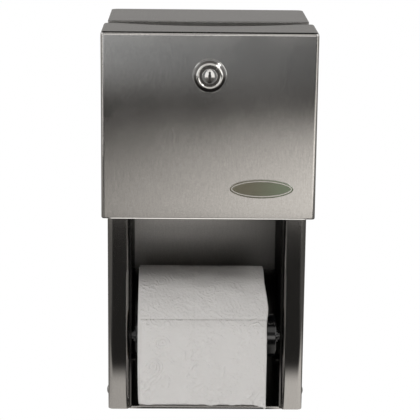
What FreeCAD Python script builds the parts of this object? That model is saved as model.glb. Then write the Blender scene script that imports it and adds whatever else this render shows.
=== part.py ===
"""Two-roll toilet paper dispenser with a locking cover, as a parametric document.

Millimetres. The wall is the plane y = 0, the front faces -Y and +Z is up. The origin is
the centre of the four wall screw holes. Heights in the sheet are measured from the
cabinet's bottom and depths from the wall.
"""

import FreeCAD
import Part
import Sketcher
import math
import os

Vector = FreeCAD.Vector
TOUCH = 0.02  # how close a point lies to a place that it is looked for at

# Name, value in millimetres or degrees, and what it drives.
SIZES = [
    ("cabinet_width", 148.0, "outside of the cabinet, side to side"),
    ("cabinet_height", 294.0, "bottom edge to the top plate's upper face"),
    ("cabinet_depth", 96.0, "wall to the front of the posts"),
    ("sheet_wall", 1.2, "thickness of every steel sheet"),
    ("back_bend", 5.0, "outer bend radius of the back corners"),
    ("post_clear", 0.5, "track's outer face to the post's inner edge"),
    ("post_gap", 1.5, "post's top to the cover's lower edge"),
    ("post_bend", 4.0, "outer bend radius at the post's outer edge"),
    ("lip_depth", 4.4, "return lip behind a post's inner edge"),
    ("lip_bend", 2.4, "outer bend radius at the post's inner edge"),
    ("screw_inset", 14.0, "cabinet's top to the upper wall screws"),
    ("screw_across", 80.0, "wall screws, side to side"),
    ("screw_up", 144.0, "wall screws, up and down"),
    ("screw_radius", 3.0, "wall screw hole"),
    ("weld_gap", 0.02, "between welded or seated sheets"),
    ("roll_front_gap", 5.8, "reserve roll to the cover's inside"),
    ("cover_height", 133.5, "cover, top to bottom"),
    ("cover_rise", 2.0, "cover's top above the cabinet's top"),
    ("cover_side_gap", 0.8, "cabinet's side to the cover's inside"),
    ("cover_flange", 46.0, "depth of the cover's sides"),
    ("cover_corner", 2.4, "outer radius of the cover's upright edges"),
    ("cover_top_bend", 2.2, "outer radius of the cover's top edges"),
    ("cover_bow", 14.0, "hollow of the top flange's rear edge"),
    ("bow_margin", 8.0, "straight ends of that edge"),
    ("hem_height", 6.5, "folded hem at the cover's lower edge"),
    ("hem_inset", 9.0, "hem's end to the cover's side"),
    ("ear_gap", 2.53, "ear to the rounded corner inside the cover"),
    ("pivot_rise", 7.5, "cover's lower edge to its pivot"),
    ("pivot_radius", 2.5, "cover pivot pin"),
    ("pivot_head", 4.5, "head radius of that pin"),
    ("head_height", 1.4, "height of pin and rivet heads"),
    ("ear_radius", 5.7, "end of the wing round the pivot"),
    ("wing_gap", 4.8, "wing's front edge to the cover's inside"),
    ("wing_notch", 5.0, "pivot up to the notch behind the ear"),
    ("notch_length", 12.5, "pivot back to the notch's rear end"),
    ("running_gap", 0.06, "radial gap of pins that turn"),
    ("step_gap", 28.0, "cover's rear edge to the top plate's step"),
    ("top_step", 10.0, "how far its front shelf lies below the top"),
    ("top_bend", 1.2, "outer bend radius of that step"),
    ("lip_overhang", 10.3, "shelf's front edge to the strike's front"),
    ("floor_fold", 18.0, "upturned sides of the floor"),
    ("floor_hem", 8.0, "hem at the floor's front edge"),
    ("rivet_radius", 2.0, "rivet shank"),
    ("rivet_head", 3.5, "rivet head"),
    ("rivet_height", 10.5, "bottom edge to the side rivets"),
    ("rivet_setback", 15.0, "posts' front to the front side rivets"),
    ("rivet_rear", 22.0, "wall to the rear side rivets"),
    ("track_inset", 16.3, "cabinet's side to the track's outer face"),
    ("track_front", 2.0, "posts' front to the track's lower front edge"),
    ("step_drop", 44.0, "reserve axis to where the track widens"),
    ("track_reach", 20.0, "how far its upper part passes the posts"),
    ("track_headroom", 28.0, "cabinet's top to the track's top"),
    ("track_slope", 12.0, "rise of the track's lower front corner"),
    ("track_fold", 10.0, "fold welded to the cabinet's back"),
    ("axis_setback", 10.0, "posts' front to the roll axes"),
    ("reserve_drop", 50.0, "track's top to the reserve axis"),
    ("entry_rise", 26.0, "reserve axis up to the loading mouth"),
    ("entry_slope", 8.0, "rise of the loading mouth to the front"),
    ("entry_room", 1.2, "extra height of the loading mouth"),
    ("roll_radius", 53.0, "paper roll"),
    ("roll_play", 9.0, "end of a centred roll to the track"),
    ("roll_edge", 1.6, "softened edges of the paper roll"),
    ("roll_shift", 4.6, "how far the lower roll has slid to the left"),
    ("roll_floor_gap", 1.0, "hem of the floor to the lower roll"),
    ("core_radius", 21.4, "cardboard core, outside"),
    ("core_wall", 1.4, "cardboard core"),
    ("core_fit", 0.05, "paper to core and core to spindle"),
    ("pin_radius", 4.0, "spindle's end pins"),
    ("pin_overhang", 2.5, "pins past the track's outer face"),
    ("shoulder_gap", 2.0, "spindle's shoulder to the track"),
    ("shoulder_radius", 6.2, "spindle's shoulder"),
    ("shoulder_length", 1.6, "spindle's shoulder"),
    ("hub_radius", 16.4, "spindle's ends, seen beside the roll"),
    ("axle_radius", 9.4, "spindle's body between the collars"),
    ("ledge_gap", 1.0, "spindle's end to the track's ledge under it"),
    ("ledge_reach", 3.0, "ledge, inward from the track"),
    ("ledge_length", 12.0, "ledge, front to back"),
    ("collar_length", 5.0, "spindle's collars inside the core"),
    ("collar_inset", 12.5, "end of a centred roll to the collar"),
    ("rib_radius", 16.0, "spindle's long ribs"),
    ("rib_wall", 2.0, "spindle's long ribs"),
    ("rib_count", 4.0, "spindle's long ribs"),
    ("tail_gap", 0.3, "lower roll to the hanging sheet"),
    ("tail_wall", 0.6, "hanging sheet"),
    ("tail_wrap_angle", 30.4, "degrees of roll that the sheet covers"),
    ("tail_drop", 37.0, "roll axis down to the sheet's edge"),
    ("latch_wall", 2.4, "latch plate"),
    ("latch_gap", 0.3, "track to latch"),
    ("latch_back", 20.0, "roll axis back to the latch's pivot"),
    ("latch_rise", 10.0, "reserve axis up to the latch's pivot"),
    ("latch_hub", 5.0, "latch round its pivot"),
    ("latch_nose", 6.0, "nose past the roll axis"),
    ("latch_nose_wall", 3.6, "nose, top to bottom"),
    ("latch_pin_radius", 2.0, "latch pivot"),
    ("latch_pin_head", 3.6, "heads of the latch pivot"),
    ("seat_gap", 0.08, "nose to the reserve pin"),
    ("spring_wire", 0.35, "radius of the latch spring's wire"),
    ("spring_clear", 0.5, "latch pivot to the inside of the coil"),
    ("spring_pitch", 1.2, "between its turns"),
    ("spring_turns", 2.0, "turns of the coil"),
    ("spring_leg", 9.0, "legs of the spring"),
    ("spring_side_gap", 0.3, "latch to spring and spring to head"),
    ("lock_drop", 30.6, "cover's top to the lock"),
    ("bezel_radius", 12.0, "lock's front ring"),
    ("bezel_height", 2.4, "ring in front of the cover"),
    ("bezel_bevel", 0.7, "slope inside the raised ring"),
    ("bezel_rim", 0.9, "thickness and width of the ring's outer rim"),
    ("ring_radius", 8.7, "raised ring, outside"),
    ("recess_radius", 7.6, "raised ring, inside"),
    ("recess_depth", 0.9, "dished face inside the ring"),
    ("barrel_radius", 8.0, "lock's barrel"),
    ("barrel_length", 19.0, "barrel behind the cover's front"),
    ("nut_flats", 21.0, "lock nut across its flats"),
    ("nut_length", 5.0, "lock nut"),
    ("plug_radius", 5.4, "lock's turning plug"),
    ("plug_proud", 0.3, "plug in front of the dished face"),
    ("boss_width", 6.9, "key boss on the plug, side to side"),
    ("boss_height", 10.2, "key boss, top to bottom"),
    ("boss_proud", 1.1, "key boss in front of the plug"),
    ("boss_slope_angle", 64.0, "degrees that the boss's sides lean in"),
    ("key_width", 1.5, "key slot"),
    ("key_height", 6.8, "key slot"),
    ("key_depth", 9.0, "key slot"),
    ("shank_width", 6.0, "square end of the plug"),
    ("cam_wall", 2.0, "cam plate"),
    ("cam_width", 10.0, "cam plate"),
    ("cam_tip_gap", 1.18, "cam, when turned up, to the strike's leg"),
    ("cam_heel", 6.0, "lock's axis to the cam's heel"),
    ("cam_gap", 0.3, "barrel to cam"),
    ("cam_screw_radius", 1.4, "screw that holds the cam"),
    ("cam_screw_head", 3.6, "head of that screw"),
    ("cam_screw_length", 7.0, "that screw's shank"),
    ("strike_gap", 0.4, "cam to the strike's lip"),
    ("strike_width", 34.0, "strike, side to side"),
    ("lip_clear", 1.2, "lock's barrel up to the strike's lip"),
    ("strike_lap", 18.0, "strike's length under the shelf"),
    ("strike_rivet_across", 20.0, "rivets of the strike, side to side"),
]


class Size:
    """A number that also remembers the sheet expression it came from."""

    def __init__(self, value, text):
        self.value = float(value)
        self.text = text

    def __add__(self, other):
        other = size_of(other)
        return Size(self.value + other.value, "(%s + %s)" % (self.text, other.text))

    def __radd__(self, other):
        return size_of(other) + self

    def __sub__(self, other):
        other = size_of(other)
        return Size(self.value - other.value, "(%s - %s)" % (self.text, other.text))

    def __rsub__(self, other):
        return size_of(other) - self

    def __mul__(self, other):
        other = size_of(other)
        return Size(self.value * other.value, "(%s * %s)" % (self.text, other.text))

    def __rmul__(self, other):
        return size_of(other) * self

    def __truediv__(self, other):
        other = size_of(other)
        return Size(self.value / other.value, "(%s / %s)" % (self.text, other.text))

    def __neg__(self):
        return size_of(0) - self

    def root(self):
        """Square root, for the sag of a round corner."""
        return Size(math.sqrt(self.value), "sqrt(%s)" % self.text)


def size_of(value):
    """Wrap a plain number; leave a Size as it is."""
    if isinstance(value, Size):
        return value
    return Size(value, "%.6f" % value)


doc = FreeCAD.newDocument("PaperDispenser")
sheet = doc.addObject("Spreadsheet::Sheet", "Sizes")
named = {}
for row, (alias, number, note) in enumerate(SIZES, start=1):
    sheet.set("A%d" % row, note)
    sheet.set("B%d" % row, "%g" % number)
    sheet.setAlias("B%d" % row, alias)
    named[alias] = Size(number, "Sizes.%s" % alias)
doc.recompute()


def size(alias):
    """The named value of the sheet."""
    return named[alias]


def bind(feature, path, value):
    """Set a property from a Size and keep it bound to the sheet."""
    feature.setExpression(path, size_of(value).text)


def new_body(label):
    """An empty body whose label names its file."""
    body = doc.addObject("PartDesign::Body", label)
    body.Label = label
    return body


def sketch_on(body, role, across=0.0, along=0.0, out=0.0):
    """A sketch on one of the body's origin planes, shifted in the plane and off it."""
    plane = [item for item in body.Origin.OriginFeatures if item.Role == role][0]
    sketch = body.newObject("Sketcher::SketchObject", body.Label + "_sketch")
    sketch.AttachmentSupport = [(plane, "")]
    sketch.MapMode = "FlatFace"
    across = size_of(across)
    along = size_of(along)
    out = size_of(out)
    place = Vector(across.value, along.value, out.value)
    sketch.AttachmentOffset = FreeCAD.Placement(place, FreeCAD.Rotation())
    bind(sketch, "AttachmentOffset.Base.x", across)
    bind(sketch, "AttachmentOffset.Base.y", along)
    bind(sketch, "AttachmentOffset.Base.z", out)
    return sketch


def fix_point(sketch, geometry, position, point):
    """Tie one point of the sketch to two bound distances from its origin."""
    for kind, value in (("DistanceX", point[0]), ("DistanceY", point[1])):
        value = size_of(value)
        rule = Sketcher.Constraint(kind, -1, 1, geometry, position, value.value)
        index = sketch.addConstraint(rule)
        bind(sketch, "Constraints[%d]" % index, value)


def outline(sketch, points):
    """A closed outline of straight lines, each corner bound to the sheet."""
    first = sketch.GeometryCount
    corners = [Vector(size_of(x).value, size_of(y).value, 0) for x, y in points]
    count = len(corners)
    for index in range(count):
        sketch.addGeometry(Part.LineSegment(corners[index], corners[(index + 1) % count]), False)
    for index in range(count):
        following = first + (index + 1) % count
        sketch.addConstraint(Sketcher.Constraint("Coincident", first + index, 2, following, 1))
    for index, point in enumerate(points):
        fix_point(sketch, first + index, 1, point)


def rectangle(sketch, left, right, low, high):
    """A rectangle between bound edges."""
    outline(sketch, [(left, low), (right, low), (right, high), (left, high)])


def circle(sketch, across, along, radius):
    """A circle with bound centre and radius."""
    radius = size_of(radius)
    centre = Vector(size_of(across).value, size_of(along).value, 0)
    curve = Part.Circle(centre, Vector(0, 0, 1), radius.value)
    index = sketch.addGeometry(curve, False)
    rule = sketch.addConstraint(Sketcher.Constraint("Radius", index, radius.value))
    bind(sketch, "Constraints[%d]" % rule, radius)
    fix_point(sketch, index, 3, (across, along))


def pad(body, sketch, length, reverse=False):
    """Extrude a sketch along its normal."""
    feature = body.newObject("PartDesign::Pad", body.Label + "_pad")
    feature.Profile = sketch
    feature.Length = size_of(length).value
    feature.Reversed = reverse
    bind(feature, "Length", length)
    settle(body)
    return feature


def pocket(body, sketch, length, reverse=False, both=False):
    """Cut a sketch out of the body, and make sure that it removes material."""
    before = body.Shape.Volume
    feature = body.newObject("PartDesign::Pocket", body.Label + "_pocket")
    feature.Profile = sketch
    feature.Length = size_of(length).value
    feature.Reversed = reverse
    if both:
        feature.SideType = "Symmetric"
    bind(feature, "Length", length)
    doc.recompute()
    if body.Shape.Volume > before - 1e-6:
        raise RuntimeError("a pocket of %s cuts nothing" % body.Label)
    return feature


def revolve(body, sketch, axis="H_Axis", angle=360.0, reverse=False):
    """Turn a sketch about one of its own axes."""
    feature = body.newObject("PartDesign::Revolution", body.Label + "_turn")
    feature.Profile = sketch
    feature.ReferenceAxis = (sketch, [axis])
    feature.Angle = size_of(angle).value
    feature.Reversed = reverse
    bind(feature, "Angle", angle)
    settle(body)
    return feature


def settle(body):
    """Recompute and stop at the first feature that did not come out."""
    doc.recompute()
    for item in body.Group:
        if "Invalid" in item.State:
            raise RuntimeError("%s of %s did not come out" % (item.Name, body.Label))


def near(edge, test):
    """True when the ends and the middle of an edge pass the test."""
    middle = edge.valueAt((edge.FirstParameter + edge.LastParameter) / 2)
    return test(middle) and all(test(vertex.Point) for vertex in edge.Vertexes)


def runs_along(edge, direction):
    """True when an edge runs along X, Y or Z, or when any direction will do."""
    box = edge.BoundBox
    spans = {"X": box.XLength, "Y": box.YLength, "Z": box.ZLength}
    if direction == "any":
        return True
    others = [spans[name] for name in spans if name != direction]
    return spans[direction] > 0.05 and max(others) < TOUCH


def fillet(body, test, radius, direction="any"):
    """Round the edges of the body whose ends pass the test."""
    doc.recompute()
    base = body.Tip
    names = []
    for number, edge in enumerate(body.Shape.Edges, start=1):
        if runs_along(edge, direction) and near(edge, test):
            names.append("Edge%d" % number)
    if not names:
        raise RuntimeError("no edge to round on %s" % body.Label)
    feature = body.newObject("PartDesign::Fillet", body.Label + "_fillet")
    feature.Base = (base, names)
    feature.Radius = size_of(radius).value
    bind(feature, "Radius", radius)
    settle(body)
    return feature


def upright(points):
    """A test for upright edges through any of the given places, left and right."""
    spots = [(size_of(x).value, size_of(y).value) for x, y in points]

    def test(point):
        for x, y in spots:
            if abs(abs(point.x) - x) < TOUCH and abs(point.y - y) < TOUCH:
                return True
        return False

    return test


def mirrored(side, points):
    """Points of an XY outline, turned over to the left when side is -1."""
    return [(side * x, y) for x, y in points]


def slab_start(side, inner, wall):
    """Where a pad along +X starts so that it fills inner to inner + wall on one side."""
    if side > 0:
        return inner
    return -(inner + wall)


wall = size("sheet_wall")
half = size("cabinet_width") / 2
inside = half - wall
front = size("cabinet_depth")
roof = size("cabinet_height") - wall
mount_height = size("cabinet_height") - size("screw_inset") - size("screw_up") / 2

# Tracks, rolls and posts
track_outer = half - size("track_inset")
track_inner = track_outer - wall
track_top = size("cabinet_height") - size("track_headroom")
roll_end = track_inner - size("roll_play")
pin_end = track_outer + size("pin_overhang")
post_inner = track_outer + size("post_clear")
slot_radius = size("pin_radius") + size("running_gap")
axis_depth = front - size("axis_setback")
lower_axis = 2 * wall + size("roll_floor_gap") + size("roll_radius")
reserve_axis = track_top - size("reserve_drop")
latch_depth = axis_depth - size("latch_back")
latch_height = reserve_axis + size("latch_rise")

# Cover and its pivot
cover_front = axis_depth + size("roll_radius") + size("roll_front_gap") + wall
cover_back = cover_front - size("cover_flange")
cover_inner = half + size("cover_side_gap")
cover_side = cover_inner + wall
cover_top = size("cabinet_height") + size("cover_rise")
cover_low = cover_top - size("cover_height")
corner_inside = size("cover_corner") - wall
corner_across = corner_inside - size("cover_side_gap")
corner_sag = corner_inside - (corner_inside * corner_inside - corner_across * corner_across).root()
pivot_depth = cover_front - wall - corner_sag - size("ear_gap") - size("ear_radius")
pivot_height = cover_low + size("pivot_rise")

# Lock, strike and the shelf that carries the strike
lock_height = cover_top - size("lock_drop")
cam_front = cover_front - size("barrel_length") - size("cam_gap")
lip_back = cam_front + size("strike_gap")
lip_low = lock_height + size("barrel_radius") + size("lip_clear")
shelf_top = size("cabinet_height") - size("top_step")
shelf_reach = lip_back + wall - size("lip_overhang")
strike_rear = shelf_reach - size("strike_lap")
strike_rivet_depth = shelf_reach - size("strike_lap") / 2
strike_top = shelf_top - wall - size("weld_gap")
cam_reach = strike_top - wall - size("cam_tip_gap") - lock_height


def up(height):
    """Z of a height above the cabinet's bottom edge."""
    return height - mount_height


def make_cabinet_shell():
    """Back, sides, posts and wings: one folded sheet."""
    body = new_body("cabinet_shell")
    return_back = front - size("lip_depth")
    bend = size("post_bend")
    plan = sketch_on(body, "XY_Plane", out=up(size_of(0)))
    outline(plan, [
        (-half, 0.0), (half, 0.0), (half, bend - front), (inside, bend - front),
        (inside, -wall), (-inside, -wall), (-inside, bend - front), (-half, bend - front),
    ])
    pad(body, plan, roof)
    fillet(body, upright([(inside, -wall)]), size("back_bend") - wall, "Z")
    fillet(body, upright([(half, size_of(0))]), size("back_bend"), "Z")
    for side in (1, -1):
        post = sketch_on(body, "XY_Plane", out=up(size_of(0)))
        outline(post, mirrored(side, [
            (half, bend - front), (inside, bend - front), (inside, wall - front),
            (post_inner + wall, wall - front), (post_inner + wall, -return_back),
            (post_inner, -return_back), (post_inner, -front), (half, -front),
        ]))
        pad(body, post, cover_low - size("post_gap"))
    fillet(body, upright([(post_inner + wall, wall - front)]), size("lip_bend") - wall, "Z")
    fillet(body, upright([(post_inner, -front)]), size("lip_bend"), "Z")
    fillet(body, upright([(inside, wall - front)]), bend - wall - size("weld_gap"), "Z")
    fillet(body, upright([(half, -front)]), bend - size("weld_gap"), "Z")

    wing_front = cover_front - wall - size("wing_gap")
    wing_low = cover_low + size("cover_side_gap")
    ear = size("ear_radius")
    notch_top = pivot_height + size("wing_notch")
    notch_back = pivot_depth - size("notch_length")
    for side in (1, -1):
        start = slab_start(side, inside, wall)
        wing = sketch_on(body, "YZ_Plane", out=start)
        outline(wing, [
            (bend - front, up(wing_low)), (-notch_back, up(wing_low)),
            (-notch_back, up(notch_top)), (ear - pivot_depth, up(notch_top)),
            (ear - pivot_depth, up(pivot_height)), (-ear - pivot_depth, up(pivot_height)),
            (-ear - pivot_depth, up(notch_top + ear)), (-wing_front, up(notch_top + 2 * ear)),
            (-wing_front, up(roof)), (bend - front, up(roof)),
        ])
        pad(body, wing, wall)
        disc = sketch_on(body, "YZ_Plane", out=start)
        circle(disc, -pivot_depth, up(pivot_height), ear)
        pad(body, disc, wall)

    bores = sketch_on(body, "YZ_Plane")
    circle(bores, -pivot_depth, up(pivot_height), size("pivot_radius") + size("weld_gap"))
    for depth in (front - size("rivet_setback"), size("rivet_rear")):
        circle(bores, -depth, up(size("rivet_height")), size("rivet_radius") + size("weld_gap"))
    pocket(body, bores, size("cabinet_width") + 2 * wall, both=True)

    screws = sketch_on(body, "XZ_Plane")
    for across in (-1, 1):
        for rise in (-1, 1):
            circle(screws, across * size("screw_across") / 2, rise * size("screw_up") / 2,
                   size("screw_radius"))
    pocket(body, screws, 4 * wall, both=True)
    return body


def make_top_plate():
    """Lid of the cabinet, stepped down at the front into a shelf under the cover's flange."""
    body = new_body("top_plate")
    reach = cover_back - size("step_gap")
    gap = size("weld_gap")
    plate = sketch_on(body, "XY_Plane", out=up(roof + gap))
    outline(plate, [(-half, -reach), (half, -reach), (half, 0.0), (-half, 0.0)])
    pad(body, plate, wall)
    fillet(body, upright([(half, size_of(0))]), size("back_bend"), "Z")
    inner = inside - gap
    step = sketch_on(body, "YZ_Plane", out=-inner)
    outline(step, [
        (wall - reach, up(roof + gap)), (-reach, up(roof + gap)), (-reach, up(shelf_top)),
        (-shelf_reach, up(shelf_top)), (-shelf_reach, up(shelf_top - wall)),
        (wall - reach, up(shelf_top - wall)),
    ])
    pad(body, step, 2 * inner)
    upper = up(roof + gap + wall).value
    lower = up(shelf_top).value
    under = up(shelf_top - wall).value

    def crease(point):
        outer = abs(point.y + reach.value) < TOUCH
        return outer and (abs(point.z - upper) < TOUCH or abs(point.z - lower) < TOUCH)

    def heel(point):
        return abs(point.y + reach.value - wall.value) < TOUCH and abs(point.z - under) < TOUCH

    fillet(body, crease, size("top_bend") / 2, "X")
    fillet(body, heel, size("top_bend"), "X")
    holes = sketch_on(body, "XY_Plane", out=up(shelf_top + wall))
    for across in (-1, 1):
        circle(holes, across * size("strike_rivet_across") / 2, -strike_rivet_depth,
               size("rivet_radius") + gap)
    pocket(body, holes, 4 * wall)
    return body


def make_bottom_plate():
    """Floor with upturned sides and a hemmed front edge between the posts."""
    body = new_body("bottom_plate")
    gap = size("weld_gap")
    side = inside - gap
    tongue = post_inner - 5 * gap
    shoulder = front - size("lip_depth") - size("roll_edge")
    bend = size("back_bend")
    plate = sketch_on(body, "XY_Plane", out=up(size_of(0)))
    right = [
        (side - bend, -wall - gap), (side, -wall - gap - bend), (side, -shoulder),
        (tongue, -shoulder), (tongue, -front),
    ]
    left = [(-x, y) for x, y in reversed(right)]
    outline(plate, right + left)
    pad(body, plate, wall)
    hem = sketch_on(body, "XY_Plane", out=up(wall))
    hem_end = track_inner - 5 * gap
    rectangle(hem, -hem_end, hem_end, -front, size("floor_hem") - front)
    pad(body, hem, wall)
    for sign in (1, -1):
        fold = sketch_on(body, "YZ_Plane", out=slab_start(sign, side - wall, wall))
        rectangle(fold, -shoulder, -wall - gap - bend, up(size_of(0)), up(size("floor_fold")))
        pad(body, fold, wall)
    edge_low = up(size_of(0)).value
    edge_high = up(2 * wall).value

    def nose(point):
        at_front = abs(point.y + front.value) < TOUCH
        return at_front and min(abs(point.z - edge_low), abs(point.z - edge_high)) < TOUCH

    fillet(body, nose, wall * 0.8)
    bores = sketch_on(body, "YZ_Plane")
    for depth in (front - size("rivet_setback"), size("rivet_rear")):
        circle(bores, -depth, up(size("rivet_height")), size("rivet_radius") + gap)
    pocket(body, bores, size("cabinet_width"), both=True)
    return body


def make_roll_track(label, side):
    """Inner plate with the loading mouth, the slot, the lower seat and a ledge under the spindle."""
    body = new_body(label)
    gap = size("weld_gap")
    back = wall + gap
    low = wall + gap
    low_front = front - size("track_front")
    high_front = front + size("track_reach")
    track_step = reserve_axis - size("step_drop")
    start = slab_start(side, track_inner, wall)
    plate = sketch_on(body, "YZ_Plane", out=start)
    outline(plate, [
        (-back, up(low)), (-low_front, up(low)), (-low_front, up(track_step)),
        (-high_front, up(track_step + size("track_slope"))),
        (-high_front, up(track_top)), (-back, up(track_top)),
    ])
    pad(body, plate, wall)
    fold = sketch_on(body, "XY_Plane", out=up(low + size("floor_fold")))
    rectangle(fold, side * track_inner, side * (track_outer + size("track_fold")), -back - wall, -back)
    pad(body, fold, track_top - low - size("floor_fold"))
    ledge_low = lower_axis - size("hub_radius") - size("ledge_gap") - wall
    ledge_half = size("ledge_length") / 2
    ledge = sketch_on(body, "XY_Plane", out=up(ledge_low))
    rectangle(
        ledge, side * (track_inner - size("ledge_reach")), side * track_outer,
        -axis_depth - ledge_half, ledge_half - axis_depth,
    )
    pad(body, ledge, wall)

    slot = sketch_on(body, "YZ_Plane", out=start - wall)
    mouth = reserve_axis + size("entry_rise")
    slope = size("entry_slope")
    room = 2 * slot_radius + size("entry_room")
    outline(slot, [
        (-axis_depth - slot_radius, up(lower_axis)), (slot_radius - axis_depth, up(lower_axis)),
        (slot_radius - axis_depth, up(mouth + room)), (-axis_depth, up(mouth + room)),
        (-high_front - wall, up(mouth + room + slope)), (-high_front - wall, up(mouth + slope)),
        (-axis_depth - slot_radius, up(mouth)),
    ])
    pocket(body, slot, 3 * wall, reverse=True)
    seat = sketch_on(body, "YZ_Plane", out=start - wall)
    circle(seat, -axis_depth, up(lower_axis), slot_radius)
    pocket(body, seat, 3 * wall, reverse=True)
    bore = sketch_on(body, "YZ_Plane", out=start - wall)
    circle(bore, -latch_depth, up(latch_height), size("latch_pin_radius") + gap)
    pocket(body, bore, 3 * wall, reverse=True)
    step_low = up(track_step).value
    step_high = up(track_step + size("track_slope")).value
    rim = up(track_top).value

    def corner(point):
        at_front = point.y < -high_front.value + TOUCH
        at_top = at_front and abs(point.z - rim) < TOUCH
        at_step = abs(point.z - step_high) < TOUCH or abs(point.z - step_low) < TOUCH
        return at_top or at_step

    fillet(body, corner, size("track_slope") / 2, "X")
    return body


def make_latch(label, side):
    """Sprung hook whose nose holds the reserve spindle's pin from below."""
    body = new_body(label)
    start = slab_start(side, track_outer + size("latch_gap"), size("latch_wall"))
    nose_top = reserve_axis - size("pin_radius") - size("seat_gap")
    nose_low = nose_top - size("latch_nose_wall")
    hub = size("latch_hub")
    behind = axis_depth - size("pin_radius") - size("latch_gap") * 4
    arm = sketch_on(body, "YZ_Plane", out=start)
    outline(arm, [
        (-latch_depth - hub * 0.8, up(latch_height + hub * 0.6)), (-behind, up(nose_top + wall)),
        (-behind, up(nose_top)), (-axis_depth - size("latch_nose"), up(nose_top)),
        (-axis_depth - size("latch_nose"), up(nose_low + wall)),
        (wall - axis_depth, up(nose_low)),
        (-behind + hub * 0.6, up(nose_low - wall)),
        (hub * 0.8 - latch_depth, up(latch_height - hub * 0.6)),
    ])
    pad(body, arm, size("latch_wall"))
    boss = sketch_on(body, "YZ_Plane", out=start)
    circle(boss, -latch_depth, up(latch_height), hub)
    pad(body, boss, size("latch_wall"))
    bore = sketch_on(body, "YZ_Plane", out=start - wall)
    circle(bore, -latch_depth, up(latch_height), size("latch_pin_radius") + size("running_gap"))
    pocket(body, bore, size("latch_wall") + 2 * wall, reverse=True)
    return body


def spring_room():
    """Length of the coil along the latch pivot."""
    return size("spring_turns") * size("spring_pitch") + 2 * size("spring_wire")


def latch_faces():
    """Distances from the middle to the latch's outer face and the pivot's outer head."""
    outer = track_outer + size("latch_gap") + size("latch_wall")
    return outer, outer + spring_room() + 2 * size("spring_side_gap")


def make_latch_pivots():
    """The two headed pins that the latches turn on, as one group."""
    radius = size("latch_pin_radius")
    head = size("latch_pin_head")
    outer = latch_faces()[1]
    inner_head = track_inner - size("head_height") / 2
    seat = track_inner - size("weld_gap")
    outer_head = outer + size("head_height")
    pins = []
    for name, side in (("left", -1), ("right", 1)):
        body = new_body("latch_pivot_" + name)
        profile = sketch_on(body, "XY_Plane", along=-latch_depth, out=up(latch_height))
        outline(profile, mirrored(side, [
            (inner_head, size_of(0)), (inner_head, head), (seat, head), (seat, radius),
            (outer, radius), (outer, head), (outer_head, head * 0.7), (outer_head, size_of(0)),
        ]))
        revolve(body, profile)
        pins.append(body)
    return group("latch_pivots", pins)


def group(label, members):
    """Several like solids in one node."""
    bundle = doc.addObject("Part::Compound", label)
    bundle.Label = label
    bundle.Links = members
    doc.recompute()
    return bundle


def make_latch_spring(label, side):
    """Torsion spring on a latch pivot: two legs and a coil, one unbroken wire."""
    mean = (size("latch_pin_radius") + size("spring_clear") + size("spring_wire")).value
    leg = size("spring_leg").value
    pitch = size("spring_pitch").value
    turns = size("spring_turns").value
    wire = size("spring_wire").value
    first = (latch_faces()[0] + size("spring_side_gap")).value + wire
    steps_per_turn = 12
    steps = int(round(turns * steps_per_turn))
    points = []
    for share in (1.0, 0.66, 0.33):
        points.append((first, mean, -share * leg))
    for step in range(steps + 1):
        angle = 2 * math.pi * step / steps_per_turn
        along = first + pitch * step / steps_per_turn
        points.append((along, mean * math.cos(angle), mean * math.sin(angle)))
    last = first + pitch * turns
    for share in (0.33, 0.66, 1.0):
        points.append((last, mean, share * leg))
    gap = min(
        math.dist(points[low], points[high]) - 2 * wire
        for low in range(len(points))
        for high in range(low + steps_per_turn // 2, len(points))
    )
    print("%s least gap to itself %.2f mm" % (label, gap))
    place = [
        Vector(side * x, y - latch_depth.value, up(latch_height).value + z)
        for x, y, z in points
    ]
    curve = Part.BSplineCurve()
    curve.interpolate(place)
    spine = Part.Wire([curve.toShape()])
    start = Part.Wire([Part.makeCircle(wire, place[0], Vector(0, 0, 1))])
    spring = doc.addObject("Part::Feature", label)
    spring.Label = label
    spring.Shape = spine.makePipeShell([start], True, False)
    doc.recompute()
    return spring


def make_lock_strike():
    """Bracket whose front lip the lock's cam turns behind."""
    body = new_body("lock_strike")
    gap = size("weld_gap")
    half_width = size("strike_width") / 2
    section = sketch_on(body, "YZ_Plane", out=-half_width)
    outline(section, [
        (-strike_rear, up(strike_top - wall)), (-strike_rear, up(strike_top)),
        (-lip_back - wall, up(strike_top)), (-lip_back - wall, up(lip_low)),
        (-lip_back, up(lip_low)), (-lip_back, up(strike_top - wall)),
    ])
    pad(body, section, size("strike_width"))
    bend_y = -(lip_back + wall).value
    bend_z = up(strike_top).value

    def bend(point):
        return abs(point.y - bend_y) < TOUCH and abs(point.z - bend_z) < TOUCH

    fillet(body, bend, wall, "X")
    holes = sketch_on(body, "XY_Plane", out=up(strike_top + wall))
    for across in (-1, 1):
        circle(holes, across * size("strike_rivet_across") / 2, -strike_rivet_depth,
               size("rivet_radius") + gap)
    pocket(body, holes, 4 * wall)
    return body


def rivet_profile(sketch, grip_start, grip_end, direction):
    """Half section of a domed rivet that clamps what lies between two distances."""
    gap = size("weld_gap")
    head = size("rivet_head")
    radius = size("rivet_radius")
    top = size("head_height")
    points = [
        (grip_start - gap - top * 0.7, size_of(0)), (grip_start - gap - top * 0.7, head * 0.7),
        (grip_start - gap, head * 0.8), (grip_start - gap, radius), (grip_end + gap, radius),
        (grip_end + gap, head), (grip_end + gap + top * 0.45, head * 0.9),
        (grip_end + gap + top * 0.8, head * 0.62), (grip_end + gap + top, head * 0.3),
        (grip_end + gap + top, size_of(0)),
    ]
    outline(sketch, mirrored(direction, points))


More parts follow.
